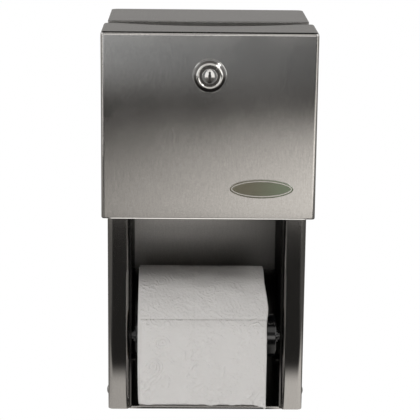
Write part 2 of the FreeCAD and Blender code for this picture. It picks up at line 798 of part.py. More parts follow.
def make_side_rivets():
    """Four domed rivets that join the sides to the floor's folds."""
    rivets = []
    grip = inside - size("weld_gap") - wall
    for side in (-1, 1):
        for depth in (front - size("rivet_setback"), size("rivet_rear")):
            body = new_body("side_rivet")
            profile = sketch_on(body, "XY_Plane", along=-depth, out=up(size("rivet_height")))
            rivet_profile(profile, grip, half, side)
            revolve(body, profile)
            rivets.append(body)
    return group("side_rivets", rivets)


def make_strike_rivets():
    """Two rivets that hold the strike under the shelf."""
    rivets = []
    gap = size("weld_gap")
    radius = size("rivet_radius")
    head = size("rivet_head")
    top = size("head_height")
    high = up(shelf_top + gap)
    low = up(strike_top - wall - gap)
    for across in (-1, 1):
        body = new_body("strike_rivet")
        profile = sketch_on(body, "XZ_Plane", across=across * size("strike_rivet_across") / 2,
                            out=strike_rivet_depth)
        outline(profile, [
            (size_of(0), low - top * 0.7), (head * 0.7, low - top * 0.7), (head * 0.8, low),
            (radius, low), (radius, high), (head, high), (head * 0.9, high + top * 0.45),
            (head * 0.6, high + top * 0.8), (head * 0.3, high + top), (size_of(0), high + top),
        ])
        revolve(body, profile, axis="V_Axis")
        rivets.append(body)
    return group("strike_rivets", rivets)


def make_cover_pivot_pins():
    """Two pins in the wings, flush with the cover's sides."""
    pins = []
    gap = size("weld_gap")
    radius = size("pivot_radius")
    for side in (-1, 1):
        body = new_body("cover_pivot_pin")
        profile = sketch_on(body, "XY_Plane", along=-pivot_depth, out=up(pivot_height))
        outline(profile, mirrored(side, [
            (inside - gap - size("head_height"), size_of(0)),
            (inside - gap - size("head_height"), size("pivot_head") * 0.75),
            (inside - gap, size("pivot_head")), (inside - gap, radius),
            (cover_side, radius), (cover_side, size_of(0)),
        ]))
        revolve(body, profile)
        pins.append(body)
    return group("cover_pivot_pins", pins)


def make_cover_shell():
    """Cover: front and sides folded from one sheet, with a top flange and a lower hem."""
    body = new_body("cover_shell")
    side = cover_side
    inner = cover_inner
    back = cover_back
    plan = sketch_on(body, "XY_Plane", out=up(cover_low))
    outline(plan, [
        (-side, -back), (-side, -cover_front), (side, -cover_front), (side, -back),
        (inner, -back), (inner, wall - cover_front), (-inner, wall - cover_front), (-inner, -back),
    ])
    pad(body, plan, size("cover_height"))
    top = sketch_on(body, "XY_Plane", out=up(cover_top - wall))
    outline(top, [(-side, -back), (-side, -cover_front), (side, -cover_front), (side, -back)])
    pad(body, top, wall)
    fillet(body, upright([(inner, wall - cover_front)]), corner_inside, "Z")
    fillet(body, upright([(side, -cover_front)]), size("cover_corner"), "Z")
    low_z = up(cover_low).value
    high_z = up(cover_top).value
    under_z = up(cover_top - wall).value

    def top_rim(point):
        on_top = abs(point.z - high_z) < TOUCH
        in_front = point.y < -back.value - TOUCH
        on_side = abs(abs(point.x) - side.value) < TOUCH
        return on_top and (in_front or on_side)

    def top_inside(point):
        on_under = abs(point.z - under_z) < TOUCH
        in_front = point.y < -back.value - TOUCH
        on_side = abs(abs(point.x) - inner.value) < TOUCH
        return on_under and (in_front or on_side)

    fillet(body, top_inside, size("cover_top_bend") - wall)
    fillet(body, top_rim, size("cover_top_bend"))

    bow = sketch_on(body, "XY_Plane", out=up(cover_top + wall))
    reach = inner - size("bow_margin")
    deep = size("cover_bow")
    radius = (reach * reach + deep * deep) / (2 * deep)
    arc = Part.Arc(
        Vector(-reach.value, -back.value, 0), Vector(0, -back.value - deep.value, 0),
        Vector(reach.value, -back.value, 0))
    bow.addGeometry(arc, False)
    chord = Part.LineSegment(Vector(reach.value, -back.value, 0), Vector(-reach.value, -back.value, 0))
    bow.addGeometry(chord, False)
    bow.addConstraint(Sketcher.Constraint("Coincident", 0, 2, 1, 1))
    bow.addConstraint(Sketcher.Constraint("Coincident", 0, 1, 1, 2))
    fix_point(bow, 1, 1, (reach, -back))
    fix_point(bow, 1, 2, (-reach, -back))
    rule = bow.addConstraint(Sketcher.Constraint("Radius", 0, radius.value))
    bind(bow, "Constraints[%d]" % rule, radius)
    pocket(body, bow, 3 * wall)

    hem = sketch_on(body, "XY_Plane", out=up(cover_low))
    hem_end = side - size("hem_inset")
    rectangle(hem, -hem_end, hem_end, wall - cover_front, 2 * wall - cover_front)
    pad(body, hem, size("hem_height"))

    def fold_edge(point):
        low = abs(point.z - low_z) < TOUCH
        outer = abs(point.y + cover_front.value) < TOUCH
        hemmed = abs(point.y + cover_front.value - 2 * wall.value) < TOUCH
        return low and (outer or hemmed)

    fillet(body, fold_edge, wall * 0.95)
    lock_hole = sketch_on(body, "XZ_Plane", out=cover_front)
    circle(lock_hole, 0.0, up(lock_height), size("barrel_radius") + size("core_fit"))
    pocket(body, lock_hole, 4 * wall, both=True)
    bores = sketch_on(body, "YZ_Plane")
    circle(bores, -pivot_depth, up(pivot_height), size("pivot_radius") + size("running_gap"))
    pocket(body, bores, 2 * side + 2 * wall, both=True)
    return body


def make_lock_housing():
    """Bezel and barrel of the lock, turned about the lock's axis."""
    body = new_body("lock_housing")
    bore = size("plug_radius") + size("running_gap")
    face = -cover_front - size("weld_gap")
    tall = size("bezel_height")
    bevel = size("bezel_bevel")
    dish = face - tall + size("recess_depth")
    outer = size("bezel_radius")
    rim = size("bezel_rim")
    profile = sketch_on(body, "XY_Plane", out=up(lock_height))
    outline(profile, [
        (bore, dish), (size("recess_radius") - bevel, dish), (size("recess_radius"), face - tall),
        (size("ring_radius"), face - tall), (outer - rim, face - rim), (outer - rim / 3, face - rim),
        (outer, face - rim * 2 / 3), (outer, face), (size("barrel_radius"), face),
        (size("barrel_radius"), size("barrel_length") - cover_front),
        (bore, size("barrel_length") - cover_front),
    ])
    revolve(body, profile, axis="V_Axis")
    crest = (face - tall).value

    def on_ring(point):
        return abs(point.y - crest) < TOUCH

    fillet(body, on_ring, size("ring_radius") - size("recess_radius"))
    return body


def make_lock_nut():
    """Six-sided nut that clamps the lock to the cover."""
    body = new_body("lock_nut")
    near_face = cover_front - wall - size("weld_gap")
    reach = size("nut_flats") / math.sqrt(3)
    flats = sketch_on(body, "XZ_Plane", along=up(lock_height), out=near_face)
    corners = []
    for index in range(6):
        angle = math.radians(60 * index)
        corners.append((reach * math.cos(angle), reach * math.sin(angle)))
    outline(flats, corners)
    circle(flats, 0.0, 0.0, size("barrel_radius") + size("core_fit"))
    pad(body, flats, size("nut_length"), reverse=True)
    return body


def almond(sketch, across, tall):
    """A pointed oval of two arcs, given by its half width and half height."""
    radius = (across * across + tall * tall) / (2 * across)
    for side in (1, -1):
        low = Vector(0, -side * tall.value, 0)
        high = Vector(0, side * tall.value, 0)
        middle = Vector(side * across.value, 0, 0)
        index = sketch.addGeometry(Part.Arc(low, middle, high), False)
        rule = sketch.addConstraint(Sketcher.Constraint("Radius", index, radius.value))
        bind(sketch, "Constraints[%d]" % rule, radius)
    sketch.addConstraint(Sketcher.Constraint("Coincident", 0, 2, 1, 1))
    sketch.addConstraint(Sketcher.Constraint("Coincident", 1, 2, 0, 1))
    fix_point(sketch, 0, 1, (size_of(0), -tall))
    fix_point(sketch, 0, 2, (size_of(0), tall))


def make_lock_plug():
    """Turning plug: key boss and slot, a square end for the cam and a screw hole."""
    body = new_body("lock_plug")
    face = cover_front + size("weld_gap") + size("bezel_height") - size("recess_depth")
    tip = face + size("plug_proud")
    disc = sketch_on(body, "XZ_Plane", along=up(lock_height), out=tip)
    circle(disc, 0.0, 0.0, size("plug_radius"))
    pad(body, disc, tip - cam_front, reverse=True)
    tip_y = -tip.value

    def rim(point):
        return abs(point.y - tip_y) < TOUCH

    fillet(body, rim, size("plug_proud") * 0.8)
    shank = sketch_on(body, "XZ_Plane", along=up(lock_height), out=cam_front)
    square = size("shank_width") / 2
    rectangle(shank, -square, square, -square, square)
    pad(body, shank, size("cam_wall") - size("core_fit"), reverse=True)
    boss = sketch_on(body, "XZ_Plane", along=up(lock_height), out=tip)
    almond(boss, size("boss_width") / 2, size("boss_height") / 2)
    raised = pad(body, boss, size("boss_proud"))
    raised.TaperAngle = -size("boss_slope_angle").value
    bind(raised, "TaperAngle", -size("boss_slope_angle"))
    settle(body)
    slot = sketch_on(body, "XZ_Plane", along=up(lock_height), out=tip + size("boss_proud"))
    key = size("key_width") / 2
    tall = size("key_height") / 2
    rectangle(slot, -key, key, -tall, tall)
    pocket(body, slot, size("key_depth"), reverse=False)
    hole = sketch_on(body, "XZ_Plane", along=up(lock_height), out=cam_front - size("cam_wall"))
    circle(hole, 0.0, 0.0, size("cam_screw_radius") + size("weld_gap"))
    pocket(body, hole, size("cam_screw_length") + wall, reverse=True)
    return body


def make_lock_cam():
    """Cam plate, lying to the right while the lock is open."""
    body = new_body("lock_cam")
    plate = sketch_on(body, "XZ_Plane", along=up(lock_height), out=cam_front)
    tall = size("cam_width") / 2
    rectangle(plate, -size("cam_heel"), cam_reach, -tall, tall)
    square = size("shank_width") / 2 + size("weld_gap")
    rectangle(plate, -square, square, -square, square)
    pad(body, plate, size("cam_wall"), reverse=True)
    tip = cam_reach.value
    heel = size("cam_heel").value

    def ends(point):
        return abs(point.x - tip) < TOUCH or abs(point.x + heel) < TOUCH

    fillet(body, ends, tall * 0.8, "Y")
    return body


def make_cam_screw():
    """Screw that holds the cam on the plug."""
    body = new_body("cam_screw")
    seat = cam_front - size("cam_wall") - size("weld_gap")
    profile = sketch_on(body, "XY_Plane", out=up(lock_height))
    radius = size("cam_screw_radius")
    head = size("cam_screw_head")
    outline(profile, [
        (size_of(0), -seat - size("cam_screw_length")), (radius, -seat - size("cam_screw_length")),
        (radius, -seat), (head, -seat), (head, wall - seat), (head * 0.7, 2 * wall - seat),
        (size_of(0), 2 * wall - seat),
    ])
    revolve(body, profile, axis="V_Axis")
    return body


def make_spindle(label, height):
    """One-piece moulded spindle: pins, shoulders, thick ends, two collars and a ribbed body."""
    body = new_body(label)
    shoulder_end = track_inner - size("shoulder_gap")
    hub_end = shoulder_end - size("shoulder_length")
    hub = size("hub_radius")
    axle = size("axle_radius")
    pin = size("pin_radius")
    shoulder = size("shoulder_radius")
    collar = size("core_radius") - size("core_wall") - size("core_fit")
    half_span = roll_end - size("collar_inset")
    width = size("collar_length")
    bevel = size("core_wall") / 2
    profile = sketch_on(body, "XY_Plane", along=-axis_depth, out=up(height))
    right = [
        (half_span - width, axle), (half_span - width, collar), (half_span - bevel, collar),
        (half_span, collar - bevel), (half_span, hub), (hub_end - bevel, hub), (hub_end, hub - bevel),
        (hub_end, shoulder), (shoulder_end, shoulder), (shoulder_end, pin), (pin_end - bevel, pin),
        (pin_end, pin - bevel), (pin_end, size_of(0)),
    ]
    left = [(-x, y) for x, y in reversed(right)]
    outline(profile, left + right)
    revolve(body, profile)
    rib = sketch_on(body, "XY_Plane", along=-axis_depth, out=up(height) - size("rib_wall") / 2)
    rectangle(rib, width / 2 - half_span, half_span - width / 2, axle / 2, size("rib_radius"))
    first = pad(body, rib, size("rib_wall"))
    turn = body.newObject("PartDesign::PolarPattern", label + "_ribs")
    turn.Originals = [first]
    turn.Axis = (profile, ["H_Axis"])
    turn.Angle = 360.0
    turn.Occurrences = int(size("rib_count").value)
    bind(turn, "Occurrences", size("rib_count"))
    body.Tip = turn
    doc.recompute()
    return body


def make_core(label, height, shift):
    """Cardboard tube."""
    body = new_body(label)
    profile = sketch_on(body, "XY_Plane", across=shift, along=-axis_depth, out=up(height))
    core = size("core_radius")
    rectangle(profile, -roll_end, roll_end, core - size("core_wall"), core)
    revolve(body, profile)
    return body


def make_paper(label, height, shift):
    """Wound paper with softened edges."""
    body = new_body(label)
    profile = sketch_on(body, "XY_Plane", across=shift, along=-axis_depth, out=up(height))
    rectangle(profile, -roll_end, roll_end, size("core_radius") + size("core_fit"), size("roll_radius"))
    revolve(body, profile)
    middle = size_of(shift).value
    limit = size("roll_radius").value - TOUCH

    def outer_edge(point):
        off_axis = math.hypot(point.y + axis_depth.value, point.z - up(height).value)
        at_end = abs(abs(point.x - middle) - roll_end.value) < TOUCH
        return at_end and off_axis > limit

    fillet(body, outer_edge, size("roll_edge"))
    return body


def make_paper_tail(label, shift):
    """Last sheet: it lies on the roll's front and hangs straight down from it."""
    body = new_body(label)
    near_side = size("roll_radius") + size("tail_gap")
    far_side = near_side + size("tail_wall")
    end = roll_end - size("roll_edge")
    wrap = sketch_on(body, "XY_Plane", across=shift, along=-axis_depth, out=up(lower_axis))
    rectangle(wrap, -end, end, -far_side, -near_side)
    revolve(body, wrap, angle=size("tail_wrap_angle"), reverse=True)
    hang = sketch_on(body, "XY_Plane", across=shift, along=-axis_depth, out=up(lower_axis))
    rectangle(hang, -end, end, -far_side, -near_side)
    pad(body, hang, size("tail_drop"), reverse=True)
    return body


nodes = [
    make_cabinet_shell(),
    make_top_plate(),
    make_bottom_plate(),
    make_roll_track("roll_track_left", -1),
    make_roll_track("roll_track_right", 1),
    make_lock_strike(),
    make_strike_rivets(),
    make_side_rivets(),
    make_cover_pivot_pins(),
    make_latch_pivots(),
    make_latch("latch_left", -1),
    make_latch("latch_right", 1),
    make_latch_spring("latch_spring_left", -1),
    make_latch_spring("latch_spring_right", 1),
    make_cover_shell(),
    make_lock_housing(),
    make_lock_nut(),
    make_lock_plug(),
    make_lock_cam(),
    make_cam_screw(),
    make_spindle("lower_spindle", lower_axis),
    make_core("lower_core", lower_axis, -size("roll_shift")),
    make_paper("lower_paper", lower_axis, -size("roll_shift")),
    make_spindle("reserve_spindle", reserve_axis),
    make_core("reserve_core", reserve_axis, size_of(0)),
    make_paper("reserve_paper", reserve_axis, size_of(0)),
    make_paper_tail("paper_tail", -size("roll_shift")),
]
doc.recompute()

for item in doc.Objects:
    if "Invalid" in item.State or "Error" in item.State:
        raise RuntimeError("%s is in state %s" % (item.Label, item.State))
os.makedirs("parts", exist_ok=True)
for node in nodes:
    if node.Shape.isNull() or not node.Shape.isValid():
        raise RuntimeError("%s has no valid shape" % node.Label)
    node.Shape.exportStep("parts/%s.step" % node.Label)
    box = node.Shape.BoundBox
    print("%-20s solids %d volume %9.1f  x %.1f %.1f  y %.1f %.1f  z %.1f %.1f" % (
        node.Label, len(node.Shape.Solids), node.Shape.Volume,
        box.XMin, box.XMax, box.YMin, box.YMax, box.ZMin, box.ZMax))
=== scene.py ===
"""Looks of the two-roll toilet paper dispenser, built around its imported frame.

Metres, in the frame's own axes: the wall is y = 0, the front faces -Y and +Z is up.
"""

import logging
import math
import random
from dataclasses import dataclass, field
from enum import Enum, IntEnum
from typing import Mapping, Sequence, Union

import bmesh
import bpy
from mathutils import Matrix, Vector, noise


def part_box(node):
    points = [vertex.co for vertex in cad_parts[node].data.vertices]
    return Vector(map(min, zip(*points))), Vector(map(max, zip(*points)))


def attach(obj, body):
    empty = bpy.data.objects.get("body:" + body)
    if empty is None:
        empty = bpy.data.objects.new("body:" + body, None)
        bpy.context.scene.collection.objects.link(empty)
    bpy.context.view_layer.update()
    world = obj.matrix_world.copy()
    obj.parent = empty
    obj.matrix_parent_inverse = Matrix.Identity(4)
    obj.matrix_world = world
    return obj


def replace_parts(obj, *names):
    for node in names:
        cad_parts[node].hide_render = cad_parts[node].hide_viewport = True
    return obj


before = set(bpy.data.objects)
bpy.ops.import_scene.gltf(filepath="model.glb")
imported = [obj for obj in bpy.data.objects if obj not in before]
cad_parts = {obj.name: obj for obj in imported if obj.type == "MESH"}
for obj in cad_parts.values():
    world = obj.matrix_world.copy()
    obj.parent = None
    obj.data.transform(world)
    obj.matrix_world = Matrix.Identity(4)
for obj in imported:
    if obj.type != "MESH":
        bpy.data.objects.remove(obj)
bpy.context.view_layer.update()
MM = 0.001
MERGE_DISTANCE = 0.001 * MM
LOG = logging.getLogger("dispenser")

Colour = tuple[float, float, float]
Value = Union["Socket", float, int, Sequence[float]]


class Socket:
    """An output socket that takes part in arithmetic by adding Math nodes."""

    def __init__(self, shader: "Shader", output: bpy.types.NodeSocket | None) -> None:
        """Keep the tree and the output that later nodes link to."""
        self.shader = shader
        self.output = output

    def _math(self, operation: str, first: Value, second: Value = 0.0) -> "Socket":
        """Add one Math node.

        Args:
            operation: Name of the Math node's operation.
            first: Left operand.
            second: Right operand.

        Returns:
            The node's result.
        """
        return self.shader.add("ShaderNodeMath", {"operation": operation}, {0: first, 1: second})

    def __add__(self, other: Value) -> "Socket":
        """Sum."""
        return self._math("ADD", self, other)

    def __radd__(self, other: Value) -> "Socket":
        """Sum with a number on the left."""
        return self._math("ADD", other, self)

    def __sub__(self, other: Value) -> "Socket":
        """Difference."""
        return self._math("SUBTRACT", self, other)

    def __rsub__(self, other: Value) -> "Socket":
        """Difference with a number on the left."""
        return self._math("SUBTRACT", other, self)

    def __mul__(self, other: Value) -> "Socket":
        """Product."""
        return self._math("MULTIPLY", self, other)

    def __rmul__(self, other: Value) -> "Socket":
        """Product with a number on the left."""
        return self._math("MULTIPLY", other, self)

    def __truediv__(self, other: Value) -> "Socket":
        """Quotient."""
        return self._math("DIVIDE", self, other)

    def __rtruediv__(self, other: Value) -> "Socket":
        """Quotient with a number on the left."""
        return self._math("DIVIDE", other, self)

    def __abs__(self) -> "Socket":
        """Absolute value."""
        return self._math("ABSOLUTE", self)

    def at_least(self, other: Value) -> "Socket":
        """The greater of the two."""
        return self._math("MAXIMUM", self, other)

    def at_most(self, other: Value) -> "Socket":
        """The smaller of the two."""
        return self._math("MINIMUM", self, other)

    def above(self, other: Value) -> "Socket":
        """One where this is greater than the other, else zero."""
        return self._math("GREATER_THAN", self, other)

    def root(self) -> "Socket":
        """Square root."""
        return self._math("SQRT", self)

    def fraction(self) -> "Socket":
        """What is left after the whole number."""
        return self._math("FRACT", self)

    def angle_from(self, other: "Socket") -> "Socket":
        """Angle of the point (other, self) about the origin, in radians."""
        return self._math("ARCTAN2", self, other)

    def eased(self, low: float, high: float) -> "Socket":
        """A smooth step from zero at low to one at high."""
        settings = {"interpolation_type": "SMOOTHSTEP"}
        return self.shader.add("ShaderNodeMapRange", settings, {0: self, 1: low, 2: high})

    def part(self, axis: str) -> "Socket":
        """One component of a vector, by its letter."""
        return self.shader.add("ShaderNodeSeparateXYZ", {}, {0: self}, axis)

    def times(self, scale: Sequence[float]) -> "Socket":
        """A vector multiplied by another, component by component."""
        return self.shader.add("ShaderNodeVectorMath", {"operation": "MULTIPLY"}, {0: self, 1: scale})

    def moved(self, offset: Sequence[float]) -> "Socket":
        """A vector with a constant offset added."""
        return self.shader.add("ShaderNodeVectorMath", {"operation": "ADD"}, {0: self, 1: offset})


class Shader:
    """A node tree with one way to add nodes."""

    def __init__(self, tree: bpy.types.NodeTree) -> None:
        """Start from an empty tree."""
        self.tree = tree
        self.tree.nodes.clear()

    def add(
        self,
        kind: str,
        settings: Mapping[str, object] | None = None,
        inputs: Mapping[Union[str, int], Value] | None = None,
        output: Union[str, int] = 0,
    ) -> Socket:
        """Add a node, set it up and fill its sockets.

        Args:
            kind: The node's type.
            settings: Its own properties; "stops" are a ramp's places and greys.
            inputs: Values or links by socket name or number.
            output: Which output to hand back.

        Returns:
            The wanted output, empty for a node that ends a tree.
        """
        node = self.tree.nodes.new(kind)
        for name, value in (settings or {}).items():
            if name == "stops":
                self._set_stops(node.color_ramp, value)
            else:
                setattr(node, name, value)
        for key, value in (inputs or {}).items():
            if isinstance(value, Socket):
                self.tree.links.new(value.output, node.inputs[key])
            else:
                node.inputs[key].default_value = value
        wanted = node.outputs[output] if len(node.outputs) else None
        return Socket(self, wanted)

    @staticmethod
    def _set_stops(ramp: bpy.types.ColorRamp, stops: Sequence[tuple[float, float]]) -> None:
        """Give a ramp its places and grey levels.

        Args:
            ramp: The ramp, with its two first elements.
            stops: Places and greys, from left to right.
        """
        while len(ramp.elements) < len(stops):
            ramp.elements.new(1.0)
        for element, (place, grey) in zip(ramp.elements, stops):
            element.position = place
            element.color = opaque((grey, grey, grey))

    def place(self) -> Socket:
        """Object coordinates, in metres."""
        return self.add("ShaderNodeTexCoord", output="Object")

    def facing(self) -> Socket:
        """The surface's own direction."""
        return self.add("ShaderNodeNewGeometry", output="Normal")

    def cloud(self, place: Socket, scale: float, detail: float = 2.0, roughness: float = 0.5) -> Socket:
        """Soft noise between zero and one, about one half on average.

        Args:
            place: Where to read it.
            scale: Blobs per metre.
            detail: Finer layers that are added.
            roughness: Weight of those layers.

        Returns:
            The noise value.
        """
        inputs = {"Vector": place, "Scale": scale, "Detail": detail, "Roughness": roughness}
        return self.add("ShaderNodeTexNoise", {}, inputs)

    def cells(self, place: Socket, scale: float) -> Socket:
        """Distance to the middle of rounded cells, for embossed dimples."""
        settings = {"feature": "SMOOTH_F1"}
        return self.add("ShaderNodeTexVoronoi", settings, {"Vector": place, "Scale": scale}, "Distance")

    def tinted(self, colour: Colour, level: Socket) -> Socket:
        """A constant colour made lighter or darker by a value."""
        return self.add("ShaderNodeVectorMath", {"operation": "SCALE"}, {0: colour, "Scale": level})

    def mixed(self, share: Value, first: Value, second: Value) -> Socket:
        """Mix of two colours.

        Args:
            share: How much of the second.
            first: Colour at zero.
            second: Colour at one.

        Returns:
            The mixed colour.
        """
        return self.add("ShaderNodeMix", {"data_type": "RGBA"}, {0: share, 6: first, 7: second}, 2)

    def bump(self, height: Socket, depth: float, strength: float = 1.0) -> Socket:
        """Normal that follows a height between zero and one, so many metres deep."""
        return self.add("ShaderNodeBump", {}, {"Height": height, "Distance": depth, "Strength": strength})

    def surface(self, inputs: Mapping[str, Value]) -> Socket:
        """A Principled surface with the given sockets."""
        return self.add("ShaderNodeBsdfPrincipled", {}, inputs)

    def blended(self, share: Socket, first: Socket, second: Socket) -> Socket:
        """The first surface where the share is zero, the second where it is one."""
        return self.add("ShaderNodeMixShader", {}, {0: share, 1: first, 2: second})

    def end(self, result: Socket, kind: str = "ShaderNodeOutputMaterial") -> None:
        """Link the result to the tree's output."""
        self.add(kind, {}, {"Surface": result})


def new_material(name: str) -> tuple[bpy.types.Material, Shader]:
    """Start a node material.

    Args:
        name: The material's name.

    Returns:
        The empty material and the wrapper of its tree.
    """
    material = bpy.data.materials.new(name)
    material.use_nodes = True
    return material, Shader(material.node_tree)


def opaque(colour: Colour) -> tuple[float, float, float, float]:
    """A colour with full opacity."""
    return (*colour, 1.0)


class Polish(Enum):
    """How the polish lines of a steel surface lie."""

    LINED = "lined"
    EVEN = "even"


@dataclass(frozen=True)
class Steel:
    """Stainless steel: lined sheet, or evenly polished small parts.

    With a dull roughness, upright faces past the dull depth and height turn dull, and get painted shade that
    darkens them toward +X. Faces that look to the front past that depth, but below that height, get painted
    shade too.
    """

    name: str
    shade: Colour = (0.615, 0.60, 0.58)
    roughness: float = 0.16
    polish: Polish = Polish.LINED
    spread: float = 1.0
    line_width: float = 0.5 * MM
    line_length: float = 9 * MM
    line_detail: float = 4.0
    line_weight: float = 0.62
    line_roughness: float = 0.025
    line_depth: float = 0.012 * MM
    line_strength: float = 0.35
    even_detail: float = 3.0
    contrast: float = 0.36
    speckle: float = 0.30
    speckle_size: float = 0.8 * MM
    handling: float = 0.05
    smears_per_metre: float = 38.0
    dull_roughness: float = 0.0
    dust: float = 0.0
    dull_depth: tuple[float, float] = (-40 * MM, -20 * MM)
    dull_height: tuple[float, float] = (-135 * MM, -115 * MM)
    painted_shade: float = 0.0
    painted_slant_shade: float = 0.0
    edge_tint: float = 1.0
    flat_between: tuple[float, float] = (0.55, 0.85)
    front_between: tuple[float, float] = (0.5, 0.9)

    def lines(self, shader: Shader, place: Socket) -> Socket:
        """Polish lines: upright on upright faces, front to back on lying ones.

        Args:
            shader: The tree to add to.
            place: Object coordinates.

        Returns:
            Line brightness between zero and one.
        """
        across = 1.0 / self.line_width
        along = 1.0 / self.line_length
        if self.polish is Polish.EVEN:
            return shader.cloud(place, across, self.even_detail)
        upright = shader.cloud(place.times((across, across, along)), 1.0, self.line_detail, self.line_weight)
        lying = shader.cloud(place.times((across, along, across)), 1.0, self.line_detail, self.line_weight)
        return upright + (lying - upright) * self.lying(shader)

    def lying(self, shader: Shader) -> Socket:
        """One on faces that lie flat, zero on upright ones."""
        return abs(shader.facing().part("Z")).eased(*self.flat_between)

    def build(self) -> bpy.types.Material:
        """Make the material.

        Returns:
            The finish.
        """
        material, shader = new_material(self.name)
        place = shader.place()
        lines = self.lines(shader, place)
        smears = shader.cloud(place, self.smears_per_metre, 3.0)
        grain = shader.cloud(place, 1.0 / self.speckle_size, 2.0)
        tone = 1.0 + (lines - 0.5) * self.contrast + (grain - 0.5) * self.speckle
        tone = tone + (smears - 0.5) * self.handling
        rough = self.roughness + (lines - 0.5) * self.line_roughness + (smears - 0.5) * self.handling
        metallic: Value = 1.0
        if self.dull_roughness:
            deep = place.part("Y").eased(*self.dull_depth)
            high = place.part("Z").eased(*self.dull_height)
            front = (0.0 - shader.facing().part("Y")).eased(*self.front_between)
            # painted shade: front-facing faces deep in the case and low down are darkened in colour, where
            # the inside lies in shade
            tone = tone * (1.0 - front * deep * (1.0 - high) * self.painted_shade)
            dull = deep * high * (1.0 - self.lying(shader))
            # painted shade: the dull upright faces are darkened toward +X, the side of the inside that lies
            # in shade
            tone = tone * (1.0 - dull * place.part("X") * self.painted_slant_shade)
            rough = rough + dull * (self.dull_roughness - self.roughness)
            metallic = 1.0 - dull * self.dust
        inputs = {
            "Base Color": shader.tinted(self.shade, tone),
            "Metallic": metallic,
            "Roughness": rough,
            "Specular Tint": opaque((self.edge_tint, self.edge_tint, self.edge_tint)),
            "Normal": shader.bump(lines, self.line_depth, self.line_strength),
        }
        even = shader.surface(inputs)
        if self.polish is Polish.EVEN:
            shader.end(even)
            return material
        lined = shader.surface({**inputs, "Anisotropic": self.spread})
        shader.end(shader.blended(self.lying(shader), lined, even))
        return material


@dataclass(frozen=True)
class Chrome:
    """Bright plating with hairline wear, and dark oxide in bands round an axis and behind a depth."""

    name: str
    axis: tuple[float, float]
    shade: Colour = (0.80, 0.785, 0.76)
    oxide: Colour = (0.085, 0.08, 0.075)
    oxide_cover: float = 0.92
    oxide_roughness: float = 0.12
    roughness: float = 0.06
    bands: tuple[tuple[float, float], ...] = ()
    band_inside: float = 0.1 * MM
    band_outside: float = 0.2 * MM
    depth: float = 1.0
    hair_stretch: tuple[float, float, float] = (1.0, 1.0, 0.12)
    hairs_per_metre: float = 2600.0
    hair_depth: float = 0.006 * MM
    hair_strength: float = 0.3
    haze_per_metre: float = 240.0
    haze_tone: float = 0.12
    haze_roughness: float = 0.05

    def build(self) -> bpy.types.Material:
        """Make the material.

        Returns:
            The finish.
        """
        material, shader = new_material(self.name)
        place = shader.place()
        across = place.part("X") - self.axis[0]
        above = place.part("Z") - self.axis[1]
        radius = (across * across + above * above).root()
        hairs = shader.cloud(place.times(self.hair_stretch), self.hairs_per_metre, 2.0)
        haze = shader.cloud(place, self.haze_per_metre, 2.0)
        dark = place.part("Y").above(self.depth)
        for low, high in self.bands:
            past = radius.eased(high - self.band_inside, high + self.band_outside)
            dark = dark.at_least(radius.eased(low - self.band_outside, low + self.band_inside) - past)
        bright = shader.tinted(self.shade, 1.0 + (haze - 0.5) * self.haze_tone)
        wear = (haze - 0.5) * self.haze_roughness
        surface = shader.surface({
            "Base Color": shader.mixed(dark * self.oxide_cover, bright, opaque(self.oxide)),
            "Metallic": 1.0,
            "Roughness": self.roughness + wear + dark * self.oxide_roughness,
            "Normal": shader.bump(hairs, self.hair_depth, self.hair_strength),
        })
        shader.end(surface)
        return material


@dataclass(frozen=True)
class MouldedPlastic:
    """Black moulded plastic with a fine spark texture and a little dust."""

    name: str
    shade: Colour = (0.006, 0.006, 0.007)
    roughness: float = 0.11
    gloss: float = 0.8
    pits_per_metre: float = 3200.0
    pit_roughness: float = 0.06
    pit_depth: float = 0.03 * MM
    pit_strength: float = 0.12
    dust: Colour = (0.10, 0.10, 0.095)
    dust_per_metre: float = 130.0
    dust_between: tuple[float, float] = (0.52, 0.85)
    dust_cover: float = 0.08
    dust_roughness: float = 0.5

    def build(self) -> bpy.types.Material:
        """Make the material.

        Returns:
            The finish.
        """
        material, shader = new_material(self.name)
        place = shader.place()
        pits = shader.cloud(place, self.pits_per_metre, 2.0)
        dusty = shader.cloud(place, self.dust_per_metre, 4.0).eased(*self.dust_between) * self.dust_cover
        texture = (pits - 0.5) * self.pit_roughness
        surface = shader.surface({
            "Base Color": shader.mixed(dusty, opaque(self.shade), opaque(self.dust)),
            "Roughness": self.roughness + texture + dusty * self.dust_roughness,
            "Specular IOR Level": self.gloss,
            "Normal": shader.bump(pits, self.pit_depth, self.pit_strength),
        })
        shader.end(surface)
        return material


